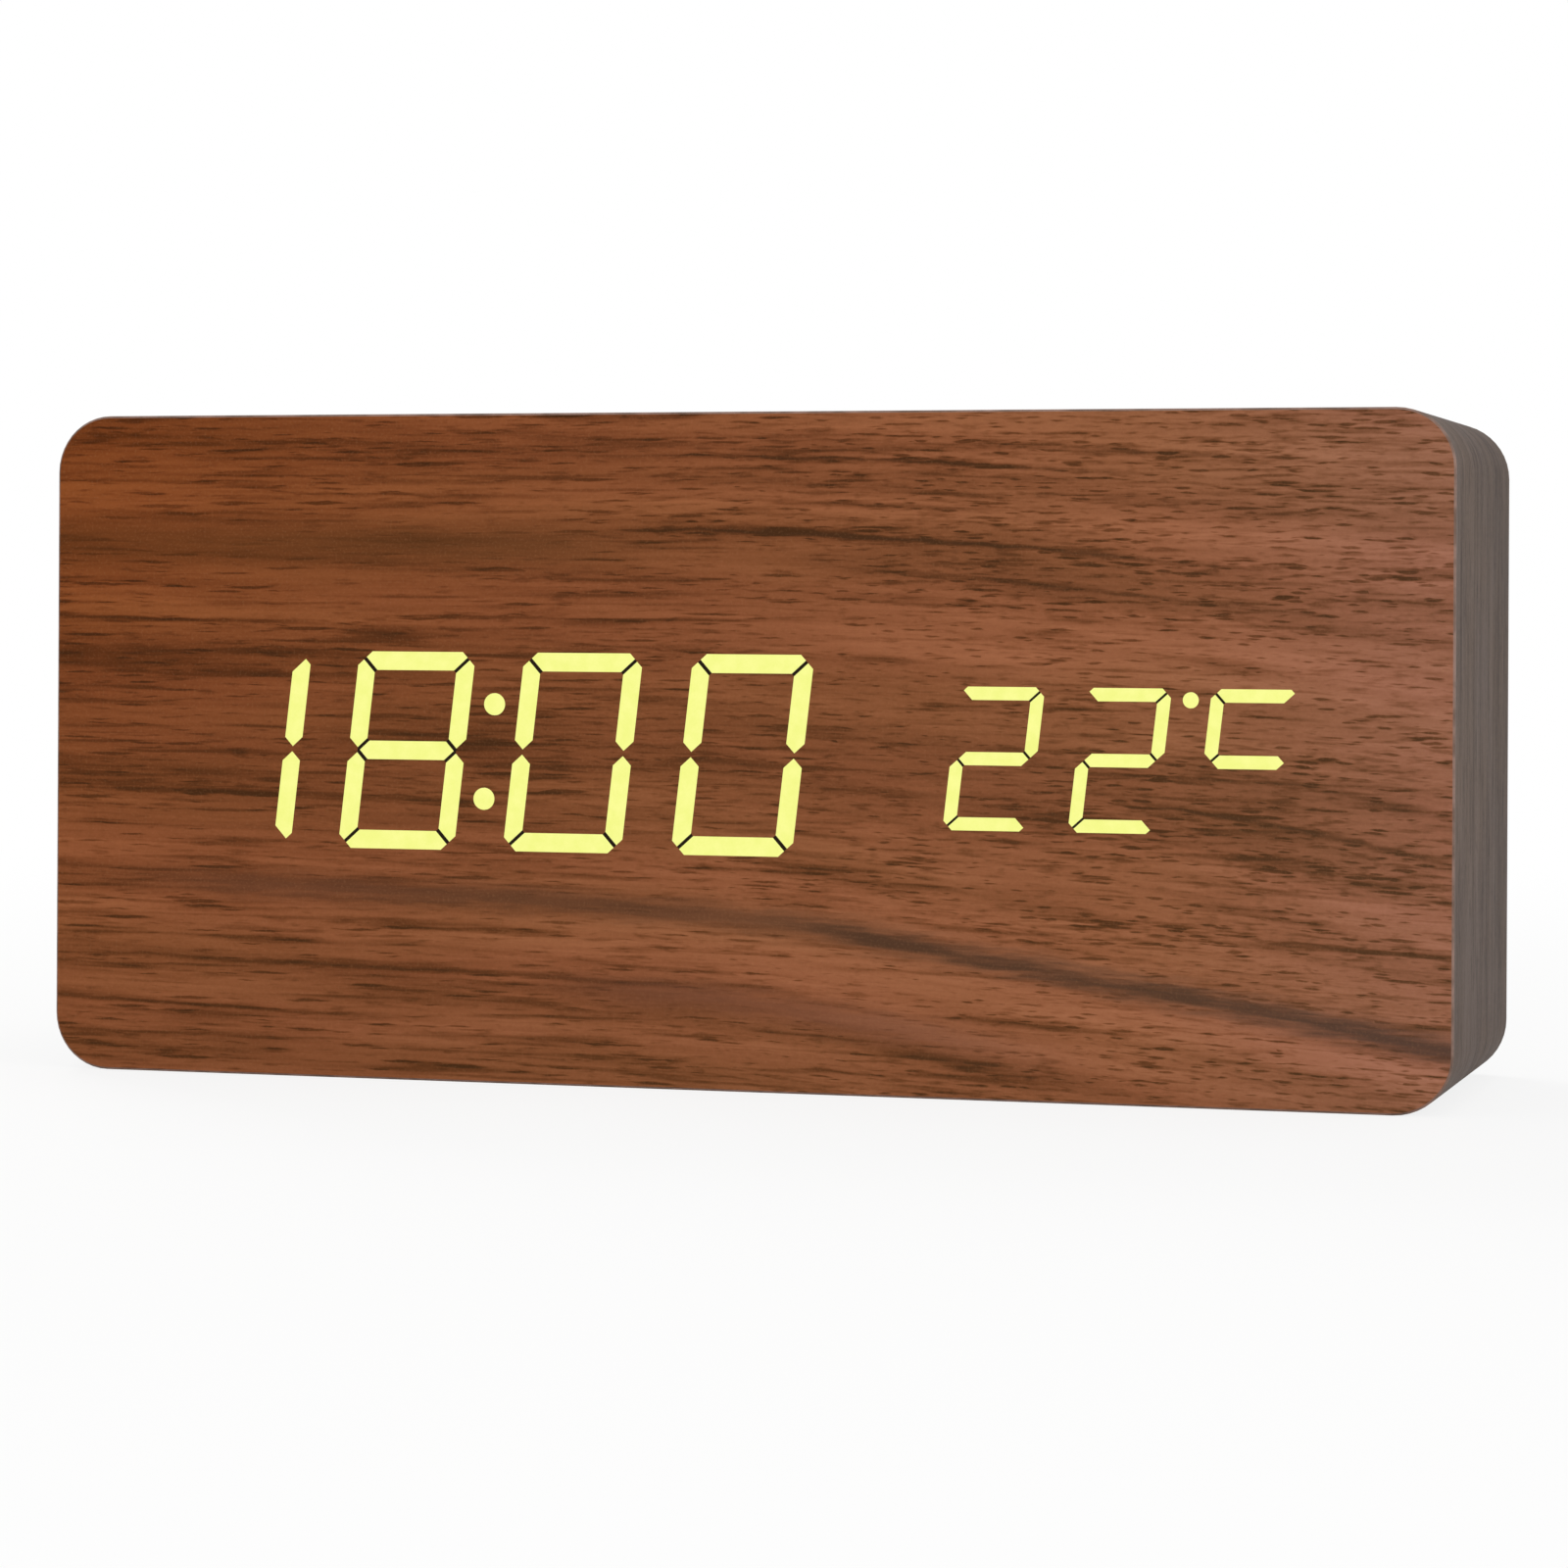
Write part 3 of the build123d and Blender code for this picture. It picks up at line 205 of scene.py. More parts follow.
# front film: walnut print, grain almost level on the left and falling to the right lower down
walnut = {
    "light": (0.322, 0.109, 0.0405), "warm": (0.215, 0.066, 0.021),
    "brown": (0.122, 0.036, 0.0090), "dark": (0.062, 0.0205, 0.0045), "warmTone": 0.36, "brownTone": 0.66,
    # the colour drifts from dark and warm at the upper left to pale and greyer at the lower right, partly
    # the print and partly painted light: a painted sheen towards the right end and painted shade at the
    # upper left
    "length": 150.0, "height": 70.0, "driftBend": 0.2,
    "lowLeft": (0.962, 0.996, 1.097), "lowRight": (1.250, 1.495, 1.977),
    "highLeft": (0.744, 0.600, 0.365), "highRight": (1.008, 1.185, 1.508),
    "rightEnd": (1.00, 1.07, 1.39), "endFrom": 38.0, "endTo": 82.0,
    "oliveTint": (0.98, 1.00, 0.95), "redTint": (1.02, 0.995, 1.00), "hueGate": (-0.15, 0.15),
    "speck": (0.36, 0.17, 0.075), "speckShare": 0.13, "speckGate": (-0.02, 0.34),
    "edge": (0.290, 0.185, 0.150), "dullEdge": (0.150, 0.098, 0.076), "wornGate": (-0.20, 0.20),
    "edgeDepth": -21.47, "edgeSoft": 0.02,
    # fall of the growth lines to the right, whole up to a height and less above it
    "fallFrom": -74.0, "fall": 0.034, "steepFall": 0.065, "steepFrom": 2.0, "steepSoft": 12.0,
    "wholeUpTo": 22.0, "fallLoss": 0.0172, "fibreShare": 0.25,
    # noise layers: scale along x, plane of the noise, scale upward, detail, roughness
    "layers": {
        "sway": (0.015, 3.0, 0.045, 2.0, 0.5), "ripple": (0.16, 9.0, 0.7, 3.0, 0.6),
        "fray": (0.16, 37.0, 1.7, 2.0, 0.6), "crook": (0.45, 45.0, 1.6, 2.0, 0.6),
        "broad": (0.011, 1.0, 0.12, 2.0, 0.55), "stripe": (0.022, 5.0, 0.66, 3.0, 0.6),
        "line": (0.05, 7.0, 1.5, 2.0, 0.6), "patch": (0.07, 13.0, 0.45, 3.0, 0.6),
        "crowd": (0.03, 17.0, 0.28, 2.0, 0.5), "mottle": (1.5, 27.0, 2.4, 2.0, 0.6),
        "hue": (0.013, 35.0, 0.11, 2.0, 0.5), "speck": (3.6, 31.0, 3.6, 1.0, 0.5),
        "worn": (0.35, 41.0, 0.35, 3.0, 0.6),
    },
    # how far the layers shift the growth lines and the pores, in millimetres
    "levelSway": 1.6, "levelRipple": 0.55, "fibreSway": 1.0, "fibreRipple": 0.30, "fray": 2.4, "crook": 0.35,
    # darkness to begin with, and what the layers add to it
    "tone": 0.275, "broad": 0.60, "stripe": 0.56, "line": 0.36, "mottle": 0.20,
    # darker at middle height, more so on the left, and lighter at the upper right
    "midHeight": 36.0, "midWidth": 11.0, "midLeft": 0.06, "midRight": 0.01,
    "topFrom": 57.0, "topTo": 65.0, "topPale": 0.10, "sideFrom": -40.0, "sideTo": 50.0,
    # level, half width, depth, from x, to x
    "streaks": (
        (21.4, 1.2, 0.12, -90, 0), (20.2, 0.7, 0.12, -90, -20),
        (13.0, 1.7, 0.24, -90, 16), (10.4, 1.2, 0.28, -40, 40), (58.6, 0.8, 0.22, -12, 56),
        (57.0, 2.6, 0.12, -90, -8), (44.6, 1.7, 0.38, -90, -36), (4.4, 1.6, 0.28, -90, -46),
        (42.2, 1.0, 0.36, 50, 90), (56.0, 2.2, 0.16, 6, 80), (37.0, 4.0, 0.20, -40, 66),
        (67.4, 1.2, 0.18, -90, 20), (31.0, 1.0, 0.16, -90, -30), (8.0, 0.9, 0.20, -90, -30),
        (63.6, 0.6, 0.16, 0, 60), (52.4, 0.8, 0.18, -90, 0), (27.4, 2.6, 0.13, 8, 42),
    ),
    # thin growth lines, in the same order
    "lines": (
        (66.2, 0.22, 0.42, -6, 42), (62.0, 0.24, 0.36, 2, 28), (58.9, 0.25, 0.44, -8, 50),
        (67.9, 0.22, 0.36, 34, 60), (55.8, 0.24, 0.22, 14, 60), (63.2, 0.22, 0.38, -90, -50),
        (62.2, 0.20, 0.34, -54, -20), (48.6, 0.20, 0.40, -90, -48), (60.0, 0.22, 0.34, -68, -46),
        (50.2, 0.20, 0.34, -90, -60), (67.4, 0.26, 0.36, -58, -40), (13.2, 0.24, 0.34, -62, -8),
        (8.1, 0.22, 0.28, -90, -42), (3.2, 0.22, 0.28, -90, -54), (38.6, 0.24, 0.32, 40, 80),
    ),
    # level, half width, share, from x, to x, colour
    "softBands": (
        (21.3, 1.30, 0.98, 4, 95, (0.067, 0.027, 0.0105)),
        (21.0, 1.3, 0.62, -60, 4, (0.070, 0.029, 0.013)),
        (57.2, 2.4, 0.45, -95, -14, (0.112, 0.044, 0.012)),
        (12.6, 1.5, 0.40, -14, 30, (0.118, 0.044, 0.022)),
    ),
    # level, half width, how much lighter
    "paleBands": ((17.4, 1.8, 0.12), (26.6, 2.0, 0.04), (49.6, 2.2, 0.08), (61.6, 1.6, 0.12)),
    "spanSoft": 12.0, "streakGate": (-0.40, 0.15), "lineGate": (-0.50, 0.00), "bandGate": (-0.60, 0.00),
    # scale along the grain, plane of the noise, scale across it, gate on the left and on the right, depth
    "dashes": (
        (0.045, 21.0, 0.85, 0.550, 0.565, 0.30), (0.065, 27.0, 1.5, 0.530, 0.562, 0.30),
        (0.25, 33.0, 2.3, 0.550, 0.520, 0.26), (0.60, 39.0, 2.7, 0.600, 0.530, 0.18),
    ),
    "dashDetail": 1.0, "dashRough": 0.4, "dashSoft": 0.22, "dashShade": 0.04,
    # cells per millimetre along and across, share left out on the left and on the right, size, depth
    "pores": (
        (0.095, 1.55, 0.52, 0.80, 0.80, 0.44), (0.15, 2.1, 0.64, 0.54, 0.85, 0.42),
        (0.33, 2.4, 0.90, 0.46, 0.80, 0.44),
    ),
    "poreSoft": 0.20, "poreCrowd": 2.0, "bandHides": 0.6,
    # how much the pores gather in places, and towards the top
    "crowd": 0.24, "topCrowd": 0.020, "crowdFrom": 48.0, "crowdTo": 62.0,
    "rough": 0.38, "stripeRough": 0.10, "poreRough": 0.25, "specular": 0.05,
    "lineHeight": 0.3, "speckHeight": 0.25, "poreDepth": 2.0, "bump": 0.25, "bumpDepth": 0.00006,
}


def walnutFilm(look):
    film = newFinish("walnutFilm")
    x, y, z = film.spot()

    def layer(name, up):  # one of the noise layers, centred on 0
        along, plane, rise, detail, rough = look["layers"][name]
        return film.noise(x * along, plane, up * rise, detail, rough) - 0.5

    right = x - look["steepFrom"]
    soft = look["steepSoft"]
    steep = (right + (right * right + soft * soft).root()) * look["steepFall"]
    whole = (1.0 - (z - look["wholeUpTo"]) * look["fallLoss"]).most(1.0)
    fall = ((x - look["fallFrom"]) * look["fall"] + steep) * whole
    sway = layer("sway", z)
    ripple = layer("ripple", z + fall)
    # level is the height of this growth line at the left side, and the pores' fibres lie flatter
    level = z + fall + sway * look["levelSway"] + ripple * look["levelRipple"]
    fibre = z + fall * look["fibreShare"] + sway * look["fibreSway"] + ripple * look["fibreRipple"]
    frayed = level + layer("fray", fibre) * look["fray"]  # streaks end in fibres
    crooked = layer("crook", z) * look["crook"]

    stripe = layer("stripe", level)
    line = layer("line", fibre)
    patch = layer("patch", level)
    side = film.ease(x, look["sideFrom"], look["sideTo"])
    middle = film.ridge(z, look["midHeight"], look["midWidth"])
    shade = layer("broad", level) * look["broad"] + stripe * look["stripe"]
    shade = shade + middle * (look["midLeft"] - side * (look["midLeft"] - look["midRight"]))
    shade = shade - side * film.ease(z, look["topFrom"], look["topTo"]) * look["topPale"]
    gate = film.ease(patch, *look["streakGate"])
    for height, width, depth, start, end in look["streaks"]:
        reach = film.span(x, start, end, look["spanSoft"])
        shade = shade + film.ridge(frayed, height, width) * reach * gate * depth
    gate = film.ease(patch, *look["lineGate"])
    thin = level + crooked
    for height, width, depth, start, end in look["lines"]:
        reach = film.span(x, start, end, look["spanSoft"])
        shade = shade + film.ridge(thin, height, width) * reach * gate * depth
    gate = film.ease(patch, *look["bandGate"])
    painted = []
    cover = 0.0
    for height, width, share, start, end, paint in look["softBands"]:
        reach = film.span(x, start, end, look["spanSoft"])
        band = film.ridge(frayed, height, width) * reach * gate
        painted.append((band * share, paint))
        cover = band + cover
    for height, width, gain in look["paleBands"]:
        shade = shade - film.ridge(level, height, width) * gain

    crowd = layer("crowd", fibre) * look["crowd"]  # where the pores gather
    crowd = crowd + film.ease(z, look["crowdFrom"], look["crowdTo"]) * look["topCrowd"]
    pores = 0.0
    for along, plane, across, leftGate, rightGate, depth in look["dashes"]:
        thread = film.noise(x * along, plane, fibre * across, look["dashDetail"], look["dashRough"])
        over = thread + crowd + shade * look["dashShade"] + side * (leftGate - rightGate)
        pores = film.ease(over, leftGate, leftGate + look["dashSoft"]) * depth + pores
    for along, across, leftGate, rightGate, size, depth in look["pores"]:
        away, chance = film.scatter(x * along, (fibre + crooked) * across)
        chance = chance + crowd * look["poreCrowd"] - leftGate + side * (leftGate - rightGate)
        pores = film.ease(chance.least(0.0) * size - away, 0.0, look["poreSoft"]) * depth + pores
    shown = 1.0 - cover.most(1.0) * look["bandHides"]  # soft bands hide some of the pores
    tone = look["tone"] + shade + line * look["line"] + layer("mottle", z) * look["mottle"] + pores * shown

    stops = (
        (0.0, look["light"]), (look["warmTone"], look["warm"]),
        (look["brownTone"], look["brown"]), (1.0, look["dark"]),
    )
    colour = film.ramp(tone, stops)
    for share, paint in painted:
        colour = film.blend(share, colour, paint)
    redder = film.ease(layer("hue", level), *look["hueGate"])
    # painted light: the drift tints below and the pale right end are partly print, partly a painted sheen
    # towards the right and painted shade at the upper left
    across = x / look["length"] + 0.5
    across = across * (across * look["driftBend"] + (1.0 - look["driftBend"]))
    lowTint = film.blend(across, look["lowLeft"], look["lowRight"])
    highTint = film.blend(across, look["highLeft"], look["highRight"])
    atEnd = film.ease(x, look["endFrom"], look["endTo"])
    tints = (
        film.blend(redder, look["oliveTint"], look["redTint"]),
        film.blend(film.ease(z, 0.0, look["height"]), lowTint, highTint),
        film.blend(atEnd, (1.0, 1.0, 1.0), look["rightEnd"]),
    )
    for tint in tints:
        colour = film.blend(1.0, colour, tint, "MULTIPLY")
    speck = layer("speck", z)
    colour = film.blend(film.ease(speck, *look["speckGate"]) * look["speckShare"], colour, look["speck"])
    behind = film.ease(y, look["edgeDepth"] - look["edgeSoft"], look["edgeDepth"] + look["edgeSoft"])
    edge = film.blend(film.ease(layer("worn", z), *look["wornGate"]), look["edge"], look["dullEdge"])
    colour = film.blend(behind, colour, edge)
    height = line * look["lineHeight"] + speck * look["speckHeight"] - pores * look["poreDepth"]
    return film.done({
        "Base Color": colour, "Specular IOR Level": look["specular"],
        "Roughness": look["rough"] + stripe * look["stripeRough"] + pores * look["poreRough"],
        "Normal": film.bump(height, look["bump"], look["bumpDepth"]),
    })


dress(walnutFilm(walnut), "front_film")


# side wrap: darker film, grain lines run round the four sides and fold over the rear rim
wrap = {
    "pale": (0.168, 0.126, 0.106), "brown": (0.104, 0.076, 0.063), "dark": (0.044, 0.031, 0.026),
    "paleTone": 0.1, "brownTone": 0.5, "darkTone": 0.95,
    "goldTint": (1.03, 0.99, 0.92), "greyTint": (1.00, 1.00, 1.00), "hueGate": (0.35, 0.65),
    "halfLength": 75.0, "halfHeight": 35.0, "corner": 6.0, "front": -21.0, "rear": 21.0,
    # noise layers: scale round the case, scale across the grain, detail, roughness
    "layers": {
        "broad": (0.012, 0.16, 2.0, 0.5), "cloud": (0.05, 0.17, 3.0, 0.6),
        "stripe": (0.022, 0.8, 3.0, 0.6), "line": (0.10, 2.6, 2.0, 0.6), "pores": (0.30, 3.6, 1.0, 0.5),
    },
    "bowScale": 0.03, "bowPlane": 2.0, "bow": 3.0,
    "mottleScale": 1.6, "hueScale": 0.04, "hueDepthScale": 0.06,
    # darkness in front, the painted shade that darkens the film towards the rear, and what the layers add to
    # it
    "tone": 0.25, "rearShade": 0.21, "broad": 0.4, "cloud": 0.7, "stripe": 0.5, "line": 0.5,
    "mottle": 0.42, "dash": 0.40, "dashGate": (0.04, 0.26),
    "rough": 0.55, "stripeRough": 0.12, "specular": 0.02,
    "dashDepth": 0.6, "lineHeight": 0.3, "bump": 0.25, "bumpDepth": 0.00006,
}


def darkFilm(look):
    film = newFinish("darkFilm")
    x, y, z = spot = film.spot()
    sideways = (abs(x) - (look["halfLength"] - look["corner"])).least(0.0)
    upward = (abs(z - look["halfHeight"]) - (look["halfHeight"] - look["corner"])).least(0.0)
    inward = look["corner"] - (sideways * sideways + upward * upward).root()  # 0 on the outer faces
    bow = film.noise(x * look["bowScale"], look["bowPlane"], z * look["bowScale"]) - 0.5
    across = y + inward + bow * look["bow"]

    def layer(name):  # one of the noise layers, centred on 0
        along, rise, detail, rough = look["layers"][name]
        return film.noise(x * along, across * rise, z * along, detail, rough) - 0.5

    stripe = layer("stripe")
    line = layer("line")
    mottle = film.even(spot, look["mottleScale"], rough=0.6) - 0.5
    dash = film.ease(layer("pores"), *look["dashGate"])
    # painted shade: the film is lighter at the front edge and darker towards the rear, as light from the
    # front falls
    tone = look["tone"] + film.ease(y, look["front"], look["rear"]) * look["rearShade"]
    tone = tone + layer("broad") * look["broad"] + layer("cloud") * look["cloud"] + stripe * look["stripe"]
    tone = tone + line * look["line"] + mottle * look["mottle"] + dash * look["dash"]
    stops = (
        (look["paleTone"], look["pale"]), (look["brownTone"], look["brown"]),
        (look["darkTone"], look["dark"]),
    )
    colour = film.ramp(tone, stops)
    hue = film.noise(x * look["hueScale"], y * look["hueDepthScale"], z * look["hueScale"])
    tint = film.blend(film.ease(hue, *look["hueGate"]), look["goldTint"], look["greyTint"])
    height = line * look["lineHeight"] - dash * look["dashDepth"]
    return film.done({
        "Base Color": film.blend(1.0, colour, tint, "MULTIPLY"), "Specular IOR Level": look["specular"],
        "Roughness": look["rough"] + stripe * look["stripeRough"],
        "Normal": film.bump(height, look["bump"], look["bumpDepth"]),
    })


dress(darkFilm(wrap), "side_wrap")


# lit segments: pale yellow light through a milky guide
glow = {
    "light": (0.915, 0.927, 0.286), "deep": (0.850, 0.887, 0.229), "base": (0.05, 0.05, 0.02),
    "cloudScale": 0.6, "grainScale": 5.0, "grain": 0.3, "gate": (0.35, 0.95),
    "rough": 0.5, "grainRough": 0.1, "specular": 0.1, "strength": 1.0,
    "nodes": (
        "hour_tens_segments", "hour_ones_segments", "colon_dots", "minute_tens_segments",
        "minute_ones_segments", "temperature_tens_segments", "temperature_ones_segments", "degree_dot",
        "celsius_segments",
    ),
}


def litGuide(look):
    guide = newFinish("litGuide")
    spot = guide.spot()
    cloud = guide.even(spot, look["cloudScale"])
    grain = guide.even(spot, look["grainScale"], detail=1.0)
    deepness = guide.ease(cloud + grain * look["grain"], *look["gate"])
    return guide.done({
        "Base Color": look["base"], "Specular IOR Level": look["specular"],
        "Roughness": look["rough"] + grain * look["grainRough"],
        "Emission Color": guide.blend(deepness, look["light"], look["deep"]),
        "Emission Strength": look["strength"],
    })


dress(litGuide(glow), *glow["nodes"])


# moulded plastics: fine spark texture, a little cloudiness, slightly varied gloss
moulding = {
    "sparkGate": (0.30, 0.70), "spark": 0.7, "cloudScale": 0.08, "cloud": 0.3,
    "sparkRough": 0.12, "cloudRough": 0.14, "specular": 0.35, "bump": 0.5,
}
plastics = {
    "blackPlastic": {
        "colour": (0.009, 0.009, 0.010), "pale": (0.024, 0.024, 0.025), "rough": 0.42, "grain": 2.4,
        "depth": 0.00014, "nodes": ("rear_cover", "battery_door"),
    },
    "milkyGuide": {
        "colour": (0.60, 0.60, 0.54), "pale": (0.72, 0.72, 0.66), "rough": 0.42, "grain": 3.0,
        "depth": 0.00002, "nodes": ("unlit_segments",),
    },
    "whiteNylon": {
        "colour": (0.70, 0.69, 0.64), "pale": (0.82, 0.81, 0.76), "rough": 0.40, "grain": 3.0,
        "depth": 0.00003, "nodes": ("board_spacers", "display_header", "control_header"),
    },
    "chipBlack": {
        "colour": (0.018, 0.018, 0.020), "pale": (0.034, 0.034, 0.036), "rough": 0.55, "grain": 8.0,
        "depth": 0.00003, "nodes": ("clock_chip", "driver_chips", "segment_resistors"),
    },
    "switchBody": {
        "colour": (0.040, 0.040, 0.042), "pale": (0.060, 0.060, 0.062), "rough": 0.45, "grain": 5.0,
        "depth": 0.00003,
        "nodes": ("set_switch", "up_switch", "down_switch", "sounder", "power_socket_tongue"),
    },
    "switchPlunger": {
        "colour": (0.62, 0.60, 0.55), "pale": (0.74, 0.72, 0.67), "rough": 0.40, "grain": 4.0,
        "depth": 0.00002, "nodes": ("set_plunger", "up_plunger", "down_plunger"),
    },
    "sensorEpoxy": {
        "colour": (0.020, 0.020, 0.024), "pale": (0.035, 0.035, 0.040), "rough": 0.25, "grain": 2.0,
        "depth": 0.00002, "nodes": ("temperature_sensor",),
    },
    "capacitorSleeve": {
        "colour": (0.020, 0.030, 0.085), "pale": (0.030, 0.042, 0.110), "rough": 0.30, "grain": 2.0,
        "depth": 0.00002, "nodes": ("smoothing_capacitor",),
    },
    "redLead": {
        "colour": (0.42, 0.020, 0.018), "pale": (0.52, 0.035, 0.030), "rough": 0.38, "grain": 2.0,
        "depth": 0.00002, "nodes": ("positive_lead",),
    },
    "blackLead": {
        "colour": (0.014, 0.014, 0.015), "pale": (0.024, 0.024, 0.025), "rough": 0.38, "grain": 2.0,
        "depth": 0.00002, "nodes": ("negative_lead",),
    },
}


def mouldedPlastic(name, look, mould):
    plastic = newFinish(name)
    spot = plastic.spot()
    spark = plastic.even(spot, look["grain"], rough=0.6)
    cloud = plastic.even(spot, mould["cloudScale"], detail=3.0)
    paleness = plastic.ease(spark, *mould["sparkGate"]) * mould["spark"] + cloud * mould["cloud"]
    rough = look["rough"] + (cloud - 0.5) * mould["cloudRough"] + (spark - 0.5) * mould["sparkRough"]
    return plastic.done({
        "Base Color": plastic.blend(paleness, look["colour"], look["pale"]), "Roughness": rough,
        "Specular IOR Level": mould["specular"], "Normal": plastic.bump(spark, mould["bump"], look["depth"]),
    })


for name, look in plastics.items():
    dress(mouldedPlastic(name, look, moulding), *look["nodes"])


# light mask: dead black, so that the lines between lit segments stay dark
mask = {
    "black": (0.012, 0.007, 0.004), "dust": (0.020, 0.013, 0.008), "grainScale": 4.0,
    "rough": 0.7, "grainRough": 0.15, "specular": 0.03, "bump": 0.4, "bumpDepth": 0.00004,
}


def maskBlack(look):
    black = newFinish("maskBlack")
    grain = black.even(black.spot(), look["grainScale"])
    return black.done({
        "Base Color": black.blend(grain, look["black"], look["dust"]),
        "Roughness": look["rough"] + grain * look["grainRough"], "Specular IOR Level": look["specular"],
        "Normal": black.bump(grain, look["bump"], look["bumpDepth"]),
    })


dress(maskBlack(mask), "light_mask")


# button caps: smoother black plastic, the pressed marks filled with white paint
caps = {
    "black": (0.018, 0.018, 0.019), "pale": (0.030, 0.030, 0.031), "paint": (0.72, 0.72, 0.70),
    "markReach": 1.9, "markDepth": 0.12, "floorDepth": 0.40, "soft": 0.05, "sparkScale": 5.0,
    "rough": 0.34, "sparkRough": 0.10, "paintRough": 0.15, "bump": 0.35, "bumpDepth": 0.00003,
    "nodes": ("set_button", "up_button", "down_button"),
}


def buttonCap(name, look):
    low, high = (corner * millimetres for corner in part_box(name))
    cap = newFinish("buttonPlastic." + name)
    x, y, z = spot = cap.spot()
    soft = look["soft"]
    across = x - (low.x + high.x) / 2
    up = z - (low.z + high.z) / 2
    away = (across * across + up * up).root()
    spark = cap.even(spot, look["sparkScale"])
    top = high.y - look["markDepth"]
    floor = high.y - look["floorDepth"]
    mark = cap.ease(y, top, top - soft) * cap.ease(away, look["markReach"] + soft, look["markReach"])
    mark = mark * cap.ease(y, floor - soft, floor)
    plain = cap.blend(spark, look["black"], look["pale"])
    return cap.done({
        "Base Color": cap.blend(mark, plain, look["paint"]),
        "Roughness": look["rough"] + (spark - 0.5) * look["sparkRough"] + mark * look["paintRough"],
        "Normal": cap.bump(spark, look["bump"], look["bumpDepth"]),
    })


for name in caps["nodes"]:
    dress(buttonCap(name, caps), name)


# fibreboard: pressed wood fibre
board = {
    "pale": (0.42, 0.28, 0.16), "dark": (0.26, 0.16, 0.085), "lumpScale": 0.5, "lumps": 0.4,
    "threadScale": 2.0, "threadDepthScale": 7.0, "threads": 0.6,
    "rough": 0.85, "threadGloss": 0.1, "bump": 0.5, "bumpDepth": 0.0001,
}


def fibreboard(look):
    fibre = newFinish("fibreboard")
    x, y, z = spot = fibre.spot()
    lumps = fibre.even(spot, look["lumpScale"], detail=3.0)
    scale = look["threadScale"]
    threads = fibre.noise(x * scale, y * look["threadDepthScale"], z * scale, rough=0.7)
    darkness = lumps * look["lumps"] + threads * look["threads"]
    return fibre.done({
        "Base Color": fibre.blend(darkness, look["pale"], look["dark"]),
        "Roughness": look["rough"] - threads * look["threadGloss"],
        "Normal": fibre.bump(threads, look["bump"], look["bumpDepth"]),
    })


dress(fibreboard(board), "case_shell", "corner_blocks")


# bare metals: fine scratches and slight tarnish
tarnish = {
    "cloudScale": 0.5, "cloud": 0.7, "scratchScale": 9.0, "scratchDepthScale": 1.5, "scratch": 0.3,
    "cloudRough": 0.2, "scratchRough": 0.06, "bump": 0.15, "bumpDepth": 0.00002,
}
metals = {
    "screwSteel": {
        "colour": (0.58, 0.57, 0.55), "dull": (0.40, 0.39, 0.37), "rough": 0.30,
        "nodes": ("board_screws", "control_board_screws"),
    },
    "blackScrew": {
        "colour": (0.045, 0.045, 0.048), "dull": (0.025, 0.025, 0.027), "rough": 0.38,
        "nodes": ("cover_screws",),
    },
    "brightCan": {
        "colour": (0.66, 0.65, 0.62), "dull": (0.50, 0.49, 0.46), "rough": 0.24,
        "nodes": ("quartz_crystal", "power_socket_shell", "microphone"),
    },
    "contactNickel": {
        "colour": (0.64, 0.62, 0.57), "dull": (0.46, 0.44, 0.40), "rough": 0.27,
        "nodes": ("positive_contact", "negative_contact", "bridge_contacts", "contact_springs"),
    },
}


def bareMetal(name, look, wear):
    metal = newFinish(name)
    x, y, z = spot = metal.spot()
    cloud = metal.even(spot, wear["cloudScale"], detail=3.0)
    scale = wear["scratchScale"]
    scratch = metal.noise(x * scale, y * wear["scratchDepthScale"], z * scale, rough=0.7)
    dullness = cloud * wear["cloud"] + scratch * wear["scratch"]
    return metal.done({
        "Base Color": metal.blend(dullness, look["colour"], look["dull"]), "Metallic": 1.0,
        "Roughness": look["rough"] + (cloud - 0.5) * wear["cloudRough"] + scratch * wear["scratchRough"],
        "Normal": metal.bump(scratch, wear["bump"], wear["bumpDepth"]),
    })


for name, look in metals.items():
    dress(bareMetal(name, look, tarnish), *look["nodes"])


# circuit boards: green mask over copper runs
circuit = {
    "mask": (0.012, 0.110, 0.045), "run": (0.030, 0.190, 0.080), "weave": (0.006, 0.050, 0.022),
    "pitch": 1.8, "runGate": (0.40, 0.30), "jogScale": 0.06, "jogPlane": 4.0, "jog": 14.0,
    "weaveScale": 1.6, "weaveShare": 0.25, "rough": 0.32, "weaveRough": 0.12, "weaveHeight": 0.2,
    "bump": 0.3, "bumpDepth": 0.00004,
}


def circuitBoard(look):
    green = newFinish("circuitBoard")
    x, y, z = spot = green.spot()
    scale = look["jogScale"]
    jog = green.noise(x * scale, look["jogPlane"], z * scale, detail=0.0) * look["jog"]
    bands = (z + jog).remainder(look["pitch"])
    runs = green.ease(abs(bands - look["pitch"] / 2), *look["runGate"])
    weave = green.even(spot, look["weaveScale"])
    colour = green.blend(runs, look["mask"], look["run"])
    height = runs + weave * look["weaveHeight"]
    return green.done({
        "Base Color": green.blend(weave * look["weaveShare"], colour, look["weave"]),
        "Roughness": look["rough"] + weave * look["weaveRough"],
        "Normal": green.bump(height, look["bump"], look["bumpDepth"]),
    })


dress(circuitBoard(circuit), "display_board", "control_board")


# light-emitting chips: yellow lens in a white body
chips = {
    "body": (0.78, 0.77, 0.70), "lens": (0.75, 0.62, 0.10), "mottleScale": 6.0, "lensGate": (0.35, 0.6),
    "rough": 0.30, "mottleRough": 0.15,
}


def ledChip(look):
    led = newFinish("ledChip")
    mottle = led.even(led.spot(), look["mottleScale"])
    return led.done({
        "Base Color": led.blend(led.ease(mottle, *look["lensGate"]), look["body"], look["lens"]),
        "Roughness": look["rough"] + mottle * look["mottleRough"],
    })


dress(ledChip(chips), "segment_leds")
